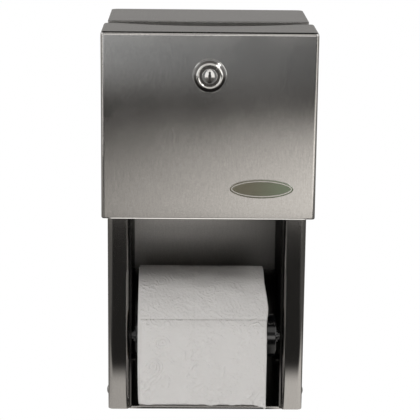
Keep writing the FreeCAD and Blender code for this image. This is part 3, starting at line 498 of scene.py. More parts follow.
@dataclass(frozen=True)
class Tissue:
    """Soft embossed tissue; the hanging sheet also shows its row of perforations.

    Heights are shares of the bump's depth. The row's places are shares of the sheet's length and width.
    """

    name: str
    shade: Colour = (0.735, 0.712, 0.69)
    lightness: float = 0.985
    roughness: float = 0.92
    gloss: float = 0.18
    sheen: float = 0.12
    bump_depth: float = 1.3 * MM
    bump_strength: float = 0.9
    dimple: float = 2.0 * MM
    dimple_height: float = 0.35
    crinkle: float = 3.4 * MM
    crinkle_weight: float = 0.55
    crinkle_height: float = 1.2
    crinkle_tone: float = 0.04
    crumple_height: float = 0.6
    drape: float = 22.0 * MM
    drape_height: float = 2.0
    drape_between: tuple[float, float] = (0.35, 0.65)
    least_crumple: float = 0.3
    fibres_per_metre: float = 2300.0
    fibre_height: float = 0.08
    fibre_tone: float = 0.05
    flower: float = 15.0 * MM
    petals: float = 7.0
    petal_wander: float = 1.3
    petal_between: tuple[float, float] = (0.25, 0.95)
    petal_height: float = 0.16
    petal_painted_light: float = 0.02
    patch: float = 12.0 * MM
    patch_offset: tuple[float, float, float] = (0.1, 0.0, 0.0)
    patch_between: tuple[float, float] = (0.36, 0.58)
    least_petal: float = 0.3
    fold: float = -8.7 * MM
    fold_width: float = 2.2 * MM
    fold_height: float = 0.14
    emboss: float = 1.0
    perforated: bool = False
    slits: float = 62.0
    slit_between: tuple[float, float] = (0.30, 0.42)
    slit_tone: float = 0.10
    slit_height: float = 0.15
    row_at: float = 0.010
    row_between: tuple[float, float] = (0.003, 0.010)
    row_left: float = 0.15
    row_gain: float = 0.70

    def build(self) -> bpy.types.Material:
        """Make the material.

        Returns:
            The finish.
        """
        material, shader = new_material(self.name)
        place = shader.place()
        dimples = shader.cells(place, 1.0 / self.dimple)
        creases = shader.cloud(place, 1.0 / self.crinkle, 2.0, self.crinkle_weight)
        drape = shader.cloud(place, 1.0 / self.drape, 1.0)
        fibres = shader.cloud(place, self.fibres_per_metre, 3.0)
        strength = drape.eased(*self.drape_between) * (1.0 - self.least_crumple) + self.least_crumple
        crumple = (dimples * self.dimple_height + abs(creases - 0.5) * self.crinkle_height) * strength
        petals = self.flowers(shader, place, dimples, creases)
        folded = 1.0 - abs(place.part("X") - self.fold).eased(0.0, self.fold_width)
        height = crumple * self.crumple_height + petals * (self.petal_height * self.emboss)
        height = height - folded * self.fold_height + drape * self.drape_height + fibres * self.fibre_height
        tone = self.lightness + (creases - 0.5) * self.crinkle_tone + (fibres - 0.5) * self.fibre_tone
        # painted highlight: the embossed ridges are made lighter in colour, standing in for the light that
        # catches them
        tone = tone + petals * self.petal_painted_light
        if self.perforated:
            slit = self.row(shader)
            tone = tone - slit * self.slit_tone
            height = height - slit * self.slit_height
        surface = shader.surface({
            "Base Color": shader.tinted(self.shade, tone),
            "Roughness": self.roughness,
            "Specular IOR Level": self.gloss,
            "Sheen Weight": self.sheen,
            "Normal": shader.bump(height, self.bump_depth, self.bump_strength),
        })
        shader.end(surface)
        return material

    def flowers(self, shader: Shader, place: Socket, dimples: Socket, creases: Socket) -> Socket:
        """Broken rings of dots, as a roller presses them into the paper.

        Args:
            shader: The tree to add to.
            place: Object coordinates.
            dimples: The dots.
            creases: What bends the rings.

        Returns:
            How raised the paper is, between zero and about one.
        """
        rings = shader.cells(place, 1.0 / self.flower) * self.petals + creases * self.petal_wander
        spot = place.moved(self.patch_offset)
        patches = shader.cloud(spot, 1.0 / self.patch, 1.0).eased(*self.patch_between)
        ridges = abs(rings.fraction() * 2.0 - 1.0).eased(*self.petal_between)
        return ridges * patches * (self.least_petal + dimples)

    def row(self, shader: Shader) -> Socket:
        """Dashes near the sheet's upper edge, clearer toward the right.

        Args:
            shader: The tree to add to.

        Returns:
            How open a slit is, zero beside the slits.
        """
        flat = shader.add("ShaderNodeUVMap", {"uv_map": "sheet"})
        across = flat.part("X")
        dash = abs((across * self.slits).fraction() - 0.5).eased(*self.slit_between)
        band = 1.0 - abs(flat.part("Y") - self.row_at).eased(*self.row_between)
        return band * dash * (self.row_left + across * self.row_gain)


@dataclass(frozen=True)
class CoreBoard:
    """Spiral-wound grey-brown board."""

    name: str
    centre: tuple[float, float, float]
    shade: Colour = (0.40, 0.31, 0.22)
    lightness: float = 0.92
    roughness: float = 0.88
    gloss: float = 0.25
    bump_depth: float = 0.12 * MM
    bump_strength: float = 0.6
    seam_pitch: float = 62 * MM
    seam_between: tuple[float, float] = (0.45, 0.49)
    seam_tone: float = 0.35
    seam_height: float = 0.8
    fibre_stretch: tuple[float, float, float] = (1.0, 0.5, 0.5)
    fibres_per_metre: float = 1500.0
    fibre_tone: float = 0.30
    flecks_per_metre: float = 520.0
    fleck_between: tuple[float, float] = (0.60, 0.75)
    fleck_tone: float = 0.12
    fleck_roughness: float = 0.1

    def build(self) -> bpy.types.Material:
        """Make the material.

        Returns:
            The finish.
        """
        material, shader = new_material(self.name)
        place = shader.place()
        local = place.moved([-value for value in self.centre])
        turn = local.part("Z").angle_from(local.part("Y")) / (2.0 * math.pi)
        spiral = (turn + local.part("X") / self.seam_pitch).fraction()
        seam = abs(spiral - 0.5).eased(*self.seam_between)
        fibres = shader.cloud(place.times(self.fibre_stretch), self.fibres_per_metre, 4.0)
        flecks = shader.cloud(place, self.flecks_per_metre, 2.0).eased(*self.fleck_between)
        tone = self.lightness + (fibres - 0.5) * self.fibre_tone
        tone = tone + flecks * self.fleck_tone - seam * self.seam_tone
        surface = shader.surface({
            "Base Color": shader.tinted(self.shade, tone),
            "Roughness": self.roughness - flecks * self.fleck_roughness,
            "Specular IOR Level": self.gloss,
            "Normal": shader.bump(fibres - seam * self.seam_height, self.bump_depth, self.bump_strength),
        })
        shader.end(surface)
        return material


@dataclass(frozen=True)
class Enamel:
    """Dark satin fill of the blank plate: slightly cloudy, and greener toward the right."""

    name: str
    middle: float
    left: Colour = (0.15, 0.138, 0.097)
    right: Colour = (0.18, 0.21, 0.142)
    half_width: float = 20 * MM
    right_between: tuple[float, float] = (0.2, 1.0)
    metallic: float = 0.3
    roughness: float = 0.36
    speckles_per_metre: float = 900.0
    speckle_wander: float = 0.3
    speckle_roughness: float = 0.18
    speckle_depth: float = 0.02 * MM
    speckle_strength: float = 0.4

    def build(self) -> bpy.types.Material:
        """Make the material.

        Returns:
            The finish.
        """
        material, shader = new_material(self.name)
        place = shader.place()
        reach = (place.part("X") - self.middle) / self.half_width
        speckle = shader.cloud(place, self.speckles_per_metre, 3.0)
        share = reach * 0.5 + 0.5 + (speckle - 0.5) * self.speckle_wander
        greener = share.eased(*self.right_between)
        surface = shader.surface({
            "Base Color": shader.mixed(greener, opaque(self.left), opaque(self.right)),
            "Metallic": self.metallic,
            "Roughness": self.roughness + (speckle - 0.5) * self.speckle_roughness,
            "Normal": shader.bump(speckle, self.speckle_depth, self.speckle_strength),
        })
        shader.end(surface)
        return material


def dress(node: str, material: bpy.types.Material) -> None:
    """Give a carried-over node its finish.

    Args:
        node: Name of the node in the frame.
        material: The finish.
    """
    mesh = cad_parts[node].data
    mesh.materials.clear()
    mesh.materials.append(material)
    LOG.info("dressed %s in %s", node, material.name)


def finished_piece(
    name: str,
    shape: bmesh.types.BMesh,
    body: str,
    materials: Sequence[bpy.types.Material],
    smooth_angle: float = 40.0,
) -> bpy.types.Object:
    """Turn a bmesh into a piece that rides on a body.

    Args:
        name: The piece's name.
        shape: Its geometry, in place.
        body: The body that it rides on.
        materials: Its finishes, by face material number.
        smooth_angle: Edges sharper than this many degrees stay crisp.

    Returns:
        The new object.
    """
    for edge in shape.edges:
        if len(edge.link_faces) == 2:
            edge.smooth = edge.calc_face_angle(0.0) < math.radians(smooth_angle)
    for face in shape.faces:
        face.smooth = True
    mesh = bpy.data.meshes.new(name)
    shape.to_mesh(mesh)
    shape.free()
    for material in materials:
        mesh.materials.append(material)
    piece = bpy.data.objects.new(name, mesh)
    bpy.context.scene.collection.objects.link(piece)
    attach(piece, body)
    LOG.info("built %s on %s: %d faces", name, body, len(mesh.polygons))
    return piece


@dataclass
class PaperRoll:
    """Wound tissue on its cardboard core.

    The trim shortens both at the left end. A loose ply has slipped to the right about its angle, which is
    counted in degrees from the front upward.
    """

    name: str
    body: str
    paper_node: str
    core_node: str
    seed: int
    steps: int = 160
    ridges: int = 24
    ridge_depth: float = 0.35 * MM
    ridge_flat: tuple[float, float] = (0.12, 0.88)
    edge: float = 0.8 * MM
    edge_points: int = 5
    across: int = 26
    unevenness: float = 0.22 * MM
    sways_per_metre: float = 55.0
    crisp_angle: float = 50.0
    bore_gap: float = 0.05 * MM
    board: float = 1.4 * MM
    crush: float = 0.3
    trim: float = 0.0
    loose_ply: float = 0.0
    loose_angle: float = 40.0
    loose_spread: float = 26.0
    loose_depth: float = 3.4 * MM
    loose_reach: float = 5.1 * MM

    def middle(self) -> Vector:
        """Centre of the roll."""
        low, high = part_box(self.core_node)
        return (low + high) / 2

    def span(self, node: str) -> tuple[float, float, float]:
        """Middle, half width and radius of a node of the roll, less the trim at its left end."""
        low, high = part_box(node)
        return (low.x + self.trim + high.x) / 2, (high.x - low.x - self.trim) / 2, (high.z - low.z) / 2

    def profile(self, half: float, inner: float, outer: float) -> list[tuple[float, float]]:
        """Section of the winding from one bore edge to the other.

        Args:
            half: Half the roll's width.
            inner: Radius at the core.
            outer: Radius of the roll.

        Returns:
            Points as (along the axis, off the axis), with the layers' ragged ends.
        """
        draw = random.Random(self.seed)
        step = (outer - self.edge - inner) / self.ridges
        ends: list[list[tuple[float, float]]] = []
        for side in (-1, 1):
            face = []
            for index in range(self.ridges):
                start = inner + step * index
                depth = half - draw.uniform(0.0, self.ridge_depth)
                face.extend((side * depth, start + step * share) for share in self.ridge_flat)
            for index in range(1, self.edge_points + 1):
                angle = 0.5 * math.pi * index / self.edge_points
                inward = self.edge * (1 - math.cos(angle))
                down = self.edge * (1 - math.sin(angle))
                face.append((side * (half - inward), outer - down))
            ends.append(face)
        reach = half - self.edge
        top = [(reach * (2 * index / self.across - 1), outer) for index in range(1, self.across)]
        bore = [(half - self.ridge_depth, inner), (self.ridge_depth - half, inner)]
        return ends[0] + top + ends[1][::-1] + bore

    def build_paper(self, finish: bpy.types.Material) -> bpy.types.Object:
        """Spin the winding's section round the axis and work it a little out of round.

        Args:
            finish: The tissue.

        Returns:
            The roll's piece.
        """
        middle = self.middle()
        centre, half, outer = self.span(self.paper_node)
        inner = self.span(self.core_node)[2] + self.bore_gap
        shape = turned_form(self.profile(half, inner, outer), centre, middle, self.steps)
        for vert in shape.verts:
            arm = Vector((0.0, vert.co.y - middle.y, vert.co.z - middle.z))
            if arm.length > outer - self.loose_depth:
                sway = noise.noise(vert.co * self.sways_per_metre + Vector((self.seed, 0, 0)))
                vert.co -= arm.normalized() * self.unevenness * (0.5 + 0.5 * sway)
                vert.co.x += self.slip(arm, vert.co.x - centre - half)
        name = self.name + "_winding"
        piece = finished_piece(name, shape, self.body, [finish], self.crisp_angle)
        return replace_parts(piece, self.paper_node)

    def slip(self, arm: Vector, behind: float) -> float:
        """How far the outer layers have slipped sideways.

        Args:
            arm: From the axis to the point.
            behind: Place of the point from the right-hand end.

        Returns:
            Sideways move of the point.
        """
        angle = math.degrees(math.atan2(arm.z, -arm.y))
        near = max(0.0, 1.0 - abs(angle - self.loose_angle) / self.loose_spread)
        return self.loose_ply * near * max(0.0, 1.0 + behind / self.loose_reach)

    def build_core(self) -> bpy.types.Object:
        """Make the board tube with its slightly crushed ends.

        Returns:
            The core's piece.
        """
        middle = self.middle()
        centre, half, outer = self.span(self.core_node)
        inner = outer - self.board
        soft = self.board * self.crush
        section = [
            (-half + soft, outer), (half - soft, outer), (half, outer - soft), (half, inner + soft),
            (half - soft, inner), (-half + soft, inner), (-half, inner + soft), (-half, outer - soft),
        ]
        shape = turned_form(section, centre, middle, self.steps // 2)
        finish = CoreBoard(self.name + "_board", tuple(middle)).build()
        piece = finished_piece(self.name + "_tube", shape, self.body, [finish])
        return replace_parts(piece, self.core_node)


def turned_form(
    section: Sequence[tuple[float, float]],
    centre: float,
    middle: Vector,
    steps: int,
) -> bmesh.types.BMesh:
    """Spin a closed section a full turn about the X direction through a point.

    Args:
        section: Points as (along the axis, off the axis).
        centre: Where along the axis the section's zero lies.
        middle: A point on the axis.
        steps: Sides of the turned form.

    Returns:
        The turned form.
    """
    shape = bmesh.new()
    points = [shape.verts.new((centre + along, middle.y, middle.z + off)) for along, off in section]
    for first, second in zip(points, points[1:] + points[:1]):
        shape.edges.new((first, second))
    bmesh.ops.spin(
        shape,
        geom=shape.verts[:] + shape.edges[:],
        cent=middle,
        axis=(1.0, 0.0, 0.0),
        angle=2.0 * math.pi,
        steps=steps,
        use_merge=True,
    )
    bmesh.ops.remove_doubles(shape, verts=shape.verts[:], dist=MERGE_DISTANCE)
    bmesh.ops.recalc_face_normals(shape, faces=shape.faces[:])
    return shape


@dataclass
class HangingSheet:
    """The last sheet: it leaves the roll along a perforation and hangs to a torn edge.

    Each ripple is (radians per metre, phase, weight), each tear (waves per metre, noise layer, weight).
    """

    roll: PaperRoll
    node: str = "paper_tail"
    body: str = "cabinet"
    columns: int = 110
    rows: int = 84
    thickness: float = 0.16 * MM
    wave: float = 1.1 * MM
    tear: float = 0.9 * MM
    corner_dip: float = 2.8 * MM
    corner_reach: float = 46 * MM
    corner_start: float = 0.86
    settle: float = 6.5 * MM
    first_lift: float = 0.12
    drift: float = 2.6 * MM
    inset: float = 0.4 * MM
    ripples: tuple[tuple[float, float, float], ...] = ((92.0, 0.7, 0.6), (211.0, 2.1, 0.25))
    sway: tuple[float, float, float] = (40.0, 1.5, 3.0)
    sway_weight: float = 0.6
    ripple_middle: float = 0.6
    tears: tuple[tuple[float, float, float], ...] = ((130.0, 9.0, 1.0), (900.0, 1.0, 0.5))
    tear_middle: float = 0.6
    end_power: int = 8
    crisp_angle: float = 80.0

    def build(self, finish: bpy.types.Material) -> bpy.types.Object:
        """Bend a grid over the roll's front and let it hang.

        Args:
            finish: The tissue.

        Returns:
            The sheet's piece.
        """
        low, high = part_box(self.node)
        axis = self.roll.middle()
        paper_low, paper_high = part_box(self.roll.paper_node)
        roll_radius = (paper_high.z - paper_low.z) / 2
        radius = axis.y - low.y - self.inset
        wrap = math.asin((high.z - axis.z) / (axis.y - low.y))
        arc = wrap * radius
        drop = axis.z - low.z
        length = arc + drop
        left = low.x + self.roll.trim
        width = high.x + self.drift - left
        shape = bmesh.new()
        bmesh.ops.create_grid(shape, x_segments=self.columns, y_segments=self.rows, size=0.5)
        layer = shape.loops.layers.uv.new("sheet")
        for face in shape.faces:
            for loop in face.loops:
                spot = loop.vert.co
                loop[layer].uv = (spot.x + 0.5, 0.5 - spot.y)
        for vert in shape.verts:
            along = (0.5 - vert.co.y) * length
            across = left + (vert.co.x + 0.5) * width
            vert.co = self.place(along, across, axis, radius, roll_radius, arc, drop)
        piece = finished_piece("hanging_sheet", shape, self.body, [finish], self.crisp_angle)
        shell = piece.modifiers.new("paper thickness", "SOLIDIFY")
        shell.thickness = self.thickness
        shell.offset = 0.0
        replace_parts(piece, self.node)
        return piece

    def place(
        self,
        along: float,
        across: float,
        axis: Vector,
        radius: float,
        roll_radius: float,
        arc: float,
        drop: float,
    ) -> Vector:
        """Where a point of the flat sheet ends up.

        Args:
            along: Distance from the perforation.
            across: Place from side to side.
            axis: Middle of the roll.
            radius: Radius of the sheet on the roll.
            roll_radius: Radius of the roll under it.
            arc: Length that lies on the roll.
            drop: Length that hangs free.

        Returns:
            The point in the frame.
        """
        lift = min(1.0, along / self.settle)
        near = roll_radius + (radius - roll_radius) * (self.first_lift + (1.0 - self.first_lift) * lift)
        if along < arc:
            turn = (arc - along) / radius
            return Vector((across, axis.y - near * math.cos(turn), axis.z + near * math.sin(turn)))
        fall = along - arc
        share = fall / drop
        ripple = sum(math.sin(across * rate + phase) * weight for rate, phase, weight in self.ripples)
        sideways, downward, layer = self.sway
        ripple += noise.noise(Vector((across * sideways, share * downward, layer))) * self.sway_weight
        out = self.wave * share * share * (ripple - self.ripple_middle)
        torn = sum(
            noise.noise(Vector((across * rate, 0.0, layer))) * weight for rate, layer, weight in self.tears
        )
        past = max(0.0, (across - axis.x) / self.corner_reach - self.corner_start)
        corner = past * self.corner_dip / (1.0 - self.corner_start)
        ragged = self.tear * (torn + self.tear_middle) - corner
        lower = axis.z - fall + share ** self.end_power * ragged
        return Vector((across, axis.y - near - out, lower))


class PlateFinish(IntEnum):
    """Material numbers of the plate's faces."""

    METAL = 0
    FILL = 1


@dataclass
class Badge:
    """Blank oval plate on the cover."""

    body: str = "cover"
    node: str = "cover_shell"
    across: float = 37.5 * MM
    drop: float = 111.0 * MM
    half_width: float = 22.6 * MM
    half_height: float = 6.9 * MM
    thickness: float = 0.5 * MM
    rim: float = 0.65 * MM
    channel: float = 0.75 * MM
    recess: float = 0.16 * MM
    step: float = 0.1 * MM
    seat: float = 0.02 * MM
    rounding: float = 0.45
    sides: int = 72
    crisp_angle: float = 30.0

    def build(self, metal: bpy.types.Material, fill: bpy.types.Material) -> bpy.types.Object:
        """Raise an oval, then inset its face into a rim, a channel and a field.

        Args:
            metal: Finish of the rim.
            fill: Finish of the channel and the field.

        Returns:
            The plate's piece.
        """
        low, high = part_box(self.node)
        shape = bmesh.new()
        bmesh.ops.create_circle(shape, cap_ends=True, segments=self.sides, radius=1.0)
        bmesh.ops.scale(shape, vec=(self.half_width, self.half_height, 1.0), verts=shape.verts[:])
        bmesh.ops.rotate(shape, matrix=Matrix.Rotation(math.radians(90), 3, "X"), verts=shape.verts[:])
        place = Vector((self.across, low.y - self.seat, high.z - self.drop))
        bmesh.ops.translate(shape, vec=place, verts=shape.verts[:])
        bmesh.ops.recalc_face_normals(shape, faces=shape.faces[:])
        base = shape.faces[0]
        if base.normal.y > 0:
            bmesh.ops.reverse_faces(shape, faces=[base])
        raised = bmesh.ops.extrude_face_region(shape, geom=[base], use_keep_orig=True)
        front = [item for item in raised["geom"] if isinstance(item, bmesh.types.BMFace)]
        verts = [item for item in raised["geom"] if isinstance(item, bmesh.types.BMVert)]
        bmesh.ops.translate(shape, vec=(0, -self.thickness, 0), verts=verts)
        bmesh.ops.recalc_face_normals(shape, faces=shape.faces[:])
        bmesh.ops.bevel(
            shape, geom=list(front[0].edges), offset=self.thickness * self.rounding, offset_type="OFFSET",
            affect="EDGES", segments=3, profile=0.5, material=-1,
        )
        face = min(shape.faces, key=lambda item: (round(item.calc_center_median().y, 6), -item.calc_area()))
        for item in shape.faces:
            item.material_index = PlateFinish.METAL
        rings = (
            (self.channel, 0.0, PlateFinish.FILL),
            (self.step, -self.recess, PlateFinish.METAL),
            (self.rim, 0.0, PlateFinish.METAL),
            (self.step, self.recess, PlateFinish.FILL),
        )
        for wide, deep, number in rings:
            ring = bmesh.ops.inset_region(shape, faces=[face], thickness=wide, use_even_offset=True)
            for item in ring["faces"]:
                item.material_index = number
            bmesh.ops.translate(shape, vec=(0, deep, 0), verts=face.verts[:])
        face.material_index = PlateFinish.FILL
        return finished_piece("blank_plate", shape, self.body, [metal, fill], self.crisp_angle)


@dataclass
class Cabinet:
    """Folded steel case, its floor, tracks, fasteners, latches and springs."""

    sheets: tuple[str, ...] = ("bottom_plate", "lock_strike")
    tracks: tuple[str, ...] = ("roll_track_left", "roll_track_right")
    small_parts: tuple[str, ...] = (
        "strike_rivets", "side_rivets", "cover_pivot_pins", "latch_pivots", "latch_left", "latch_right",
    )
    springs: tuple[str, ...] = ("latch_spring_left", "latch_spring_right")

    def dress(self, case: bpy.types.Material, lid: bpy.types.Material, sheet: bpy.types.Material,
              track: bpy.types.Material, part: bpy.types.Material, wire: bpy.types.Material) -> None:
        """Give every node its finish.

        Args:
            case: Finish of the folded case with the posts.
            lid: Finish of the top plate.
            sheet: Finish of the other sheets.
            track: Finish of the tracks that the spindles run in.
            part: Finish of rivets, pins and latches.
            wire: Finish of the springs.
        """
        dress("cabinet_shell", case)
        dress("top_plate", lid)
        groups = (
            (self.sheets, sheet), (self.tracks, track), (self.small_parts, part), (self.springs, wire),
        )
        for names, material in groups:
            for name in names:
                dress(name, material)


@dataclass
class Cover:
    """Hinged cover with its lock and blank plate."""

    badge: Badge = field(default_factory=Badge)
    plain: tuple[str, ...] = ("lock_nut", "lock_cam", "cam_screw")

    def dress(self, sheet: bpy.types.Material, chrome: bpy.types.Material, key_chrome: bpy.types.Material,
              part: bpy.types.Material, fill: bpy.types.Material) -> None:
        """Finish the cover and the lock, and put on the plate.

        Args:
            sheet: Lined steel.
            chrome: Plating of the lock's ring.
            key_chrome: Plating of the part that takes the key.
            part: Finish of the lock's hidden parts.
            fill: Enamel of the plate.
        """
        dress("cover_shell", sheet)
        dress("lock_housing", chrome)
        dress("lock_plug", key_chrome)
        for name in self.plain:
            dress(name, part)
        self.badge.build(sheet, fill)


@dataclass
class Rolls:
    """Both rolls on their spindles, and the sheet that hangs from the lower one."""

    lower: PaperRoll = field(default_factory=lambda: PaperRoll(
        "lower_roll", "lower_roll", "lower_paper", "lower_core", 11, trim=1.6 * MM, loose_ply=2.4 * MM))
    reserve: PaperRoll = field(default_factory=lambda: PaperRoll(
        "reserve_roll", "reserve_roll", "reserve_paper", "reserve_core", 23))
    spindles: tuple[str, ...] = ("lower_spindle", "reserve_spindle")

    def build(self, tissue: bpy.types.Material, sheet: bpy.types.Material,
              plastic: bpy.types.Material) -> None:
        """Build the paper and dress the spindles.

        Args:
            tissue: Finish of the rolls.
            sheet: Finish of the hanging sheet.
            plastic: Finish of the spindles.
        """
        for roll in (self.lower, self.reserve):
            roll.build_paper(tissue)
            roll.build_core()
        HangingSheet(self.lower).build(sheet)
        for name in self.spindles:
            dress(name, plastic)


@dataclass(frozen=True)
class Card:
    """Studio card that only mirror-like surfaces see.

    Its brightness goes from low to high between the two places of its fade, which are shares of its half
    height, and can lean to one side. A one-sided card is clear from behind.
    """

    name: str
    centre: tuple[float, float, float]
    half_width: float
    half_height: float
    low: float
    high: float
    tilt: float = 90.0
    turn: float = 0.0
    fade: tuple[float, float] = (-1.0, 1.0)
    lean: float = 0.0
    one_sided: bool = False
    tint: Colour = (1.0, 0.98, 0.955)

    def pose(self) -> Matrix:
        """How the card is tilted back and then turned."""
        tilt = Matrix.Rotation(math.radians(self.tilt), 3, "X")
        return Matrix.Rotation(math.radians(self.turn), 3, "Z") @ tilt

    def build(self) -> bpy.types.Object:
        """Hang the card up.

        Returns:
            The staged card.
        """
        shape = bmesh.new()
        bmesh.ops.create_grid(shape, x_segments=1, y_segments=1, size=1.0)
        bmesh.ops.scale(shape, vec=(self.half_width, self.half_height, 1.0), verts=shape.verts[:])
        bmesh.ops.rotate(shape, matrix=self.pose(), verts=shape.verts[:])
        bmesh.ops.translate(shape, vec=self.centre, verts=shape.verts[:])
        return hang_card(self.name, shape, self.finish())

    def finish(self) -> bpy.types.Material:
        """Emission with a soft change along the card.

        Returns:
            The card's glow.
        """
        material, shader = new_material(self.name)
        local = shader.place().moved([-value for value in self.centre])
        upward = self.pose() @ Vector((0.0, 1.0 / self.half_height, 0.0))
        product = {"operation": "DOT_PRODUCT"}
        along = shader.add("ShaderNodeVectorMath", product, {0: local, 1: upward}, "Value")
        light = self.low + along.eased(*self.fade) * (self.high - self.low)
        if self.lean:
            light = light * (1.0 + local.part("X") * (self.lean / self.half_width)).at_least(0.0)
        glow = shader.add("ShaderNodeEmission", {}, {"Color": shader.tinted(self.tint, light)})
        if self.one_sided:
            behind = shader.add("ShaderNodeNewGeometry", output="Backfacing")
            clear = shader.add("ShaderNodeBsdfTransparent")
            glow = shader.blended(behind, glow, clear)
        shader.end(glow)
        return material


def hang_card(name: str, shape: bmesh.types.BMesh, finish: bpy.types.Material) -> bpy.types.Object:
    """Make a card that only mirror-like reflections see.

    Args:
        name: The card's name.
        shape: Its geometry, in place.
        finish: Its glow.

    Returns:
        The staged object.
    """
    mesh = bpy.data.meshes.new(name)
    shape.to_mesh(mesh)
    shape.free()
    mesh.materials.append(finish)
    card = bpy.data.objects.new(name, mesh)
    bpy.context.scene.collection.objects.link(card)
    card.visible_camera = False
    card.visible_diffuse = False
    card.visible_transmission = False
    card.visible_shadow = False
    return card


@dataclass
class Board:
    """Table under the part as the steel sees it.

    Each level is (distance from the wall, brightness, sideways lean of the brightness). Each surround is
    (share of the table's reach, brightness) and holds off the strip in front of the part.
    """

    height: float = -0.212
    near: float = 0.10
    far: float = 2.9
    sides: int = 64
    eye: float = 1.13
    lean_gain: float = 10.0
    lean_limit: float = 0.20
    darkest: float = 0.005
    levels: tuple[tuple[float, float, float], ...] = (
        (0.10, 0.58, 1.4), (0.172, 0.58, 1.4), (0.204, 0.02, 0.0), (0.76, 0.02, 0.0),
        (0.79, 0.76, 4.7), (0.96, 0.60, 4.5), (1.06, 0.515, 4.4), (1.18, 0.385, 4.4), (1.26, 0.28, 3.8),
        (1.32, 0.197, 3.0), (1.38, 0.118, 2.0), (1.45, 0.045, 1.1), (1.52, 0.018, 0.4), (1.59, 0.04, -0.2),
        (1.66, 0.12, -0.9), (1.76, 0.19, -1.5), (1.98, 0.235, -2.3), (2.15, 0.22, -2.8), (2.45, 0.21, -3.2),
        (2.90, 0.24, -3.0),
    )
    surrounds: tuple[tuple[float, float], ...] = (
        (0.0, 0.90), (0.05, 0.40), (0.09, 0.12), (0.24, 0.12), (0.32, 0.33), (0.50, 0.30), (1.0, 0.50),
    )
    surround_fall: tuple[float, float] = (0.0, 0.5)
    surround_loss: float = 0.3
    strip_start: tuple[float, float] = (0.06, 0.10)
    near_sides: tuple[float, float] = (0.11, 0.32)
    far_slopes: tuple[float, float] = (0.78, 0.98)
    far_start: tuple[float, float] = (0.70, 0.80)
    roll_depth: tuple[float, float] = (0.19, 0.21)
    roll_sides: tuple[float, float] = (0.048, 0.058)
    roll_shade: float = 0.95
    warm: Colour = (1.0, 0.965, 0.92)
    cool: Colour = (0.97, 1.0, 1.03)
    cool_from: tuple[float, float] = (1.4, 2.0)

    def build(self) -> bpy.types.Object:
        """Lay the table down and give it its brightness.

        Returns:
            The staged table.
        """
        shape = bmesh.new()
        bmesh.ops.create_circle(shape, cap_ends=True, segments=self.sides, radius=self.far)
        bmesh.ops.translate(shape, vec=(0, 0, self.height), verts=shape.verts[:])
        return hang_card("reflector_table", shape, self.finish())

    def strip(self, shader: Shader, across: Socket, distance: Socket, slope: Socket) -> Socket:
        """Brightness of the strip in front of the part.

        Args:
            shader: The tree to add to.
            across: Place from side to side.
            distance: Distance from the wall.
            slope: Sideways slope of the line to the point, as the camera's mirror image sees it.

        Returns:
            The brightness, with the dark place under the roll.
        """
        span = self.far - self.near
        share = (distance - self.near) / span
        stops = [((far - self.near) / span, level) for far, level, lean in self.levels]
        leans = [((far - self.near) / span, 0.5 + lean / self.lean_gain) for far, level, lean in self.levels]
        level = shader.add("ShaderNodeValToRGB", {"stops": stops}, {0: share})
        lean = shader.add("ShaderNodeValToRGB", {"stops": leans}, {0: share})
        tilt = slope.at_least(-self.lean_limit).at_most(self.lean_limit)
        glow = (level + (lean - 0.5) * self.lean_gain * tilt).at_least(self.darkest)
        shade = (1.0 - distance.eased(*self.roll_depth)) * (1.0 - abs(across).eased(*self.roll_sides))
        return glow * (1.0 - shade * self.roll_shade)

    def surround(self, shader: Shader, place: Socket, across: Socket) -> Socket:
        """Brightness of the table off the strip.

        Args:
            shader: The tree to add to.
            place: Object coordinates.
            across: Place from side to side.

        Returns:
            The brightness.
        """
        off = shader.add("ShaderNodeVectorMath", {"operation": "LENGTH"}, {0: place}, "Value")
        rest = shader.add("ShaderNodeValToRGB", {"stops": self.surrounds}, {0: off / self.far})
        return rest * (1.0 - across.eased(*self.surround_fall) * self.surround_loss)

    def finish(self) -> bpy.types.Material:
        """Emission that changes with the distance and leans to one side.

        Returns:
            The table's glow.
        """
        material, shader = new_material("reflector_table")
        place = shader.place()
        across = place.part("X")
        distance = place.part("Y") * -1.0
        slope = across / (distance + self.eye)
        beside = abs(across).eased(*self.near_sides)
        outside = beside + (abs(slope).eased(*self.far_slopes) - beside) * distance.eased(*self.far_start)
        inside = (1.0 - outside) * distance.eased(*self.strip_start)
        rest = self.surround(shader, place, across)
        light = rest + (self.strip(shader, across, distance, slope) - rest) * inside
        tint = shader.mixed(distance.eased(*self.cool_from), opaque(self.warm), opaque(self.cool))
        colour = shader.add("ShaderNodeVectorMath", {"operation": "SCALE"}, {0: tint, "Scale": light})
        shader.end(shader.add("ShaderNodeEmission", {}, {"Color": colour}))
        return material


@dataclass
class PhotoCamera:
    """Camera at the photograph's viewing angle.

    Its place, lens and sensor are in millimetres, its angles in degrees and its clipping in metres.
    """

    place: tuple[float, float, float] = (-18.89, -1273.98, 240.94)
    lens: float = 140.25
    sensor: float = 36.0
    clip: tuple[float, float] = (0.05, 60.0)
    pitch: float = 13.918
    yaw: float = 1.021
    roll: float = 0.616

    def build(self) -> bpy.types.Object:
        """Make the camera and look through it.

        Returns:
            The camera.
        """
        pitch, yaw, roll = (math.radians(angle) for angle in (self.pitch, self.yaw, self.roll))
        forward = Vector((math.sin(yaw) * math.cos(pitch), math.cos(yaw) * math.cos(pitch), -math.sin(pitch)))
        right = Vector((math.cos(yaw), -math.sin(yaw), 0.0))
        up = right.cross(forward)
        across = right * math.cos(roll) + up * math.sin(roll)
        above = up * math.cos(roll) - right * math.sin(roll)
        turn = Matrix((across, above, -forward)).transposed()
        data = bpy.data.cameras.new("photo_camera")
        data.lens = self.lens
        data.sensor_width = self.sensor
        data.clip_start, data.clip_end = self.clip
        camera = bpy.data.objects.new("photo_camera", data)
        camera.matrix_world = Matrix.Translation(Vector(self.place) * MM) @ turn.to_4x4()
        bpy.context.scene.collection.objects.link(camera)
        bpy.context.scene.camera = camera
        return camera


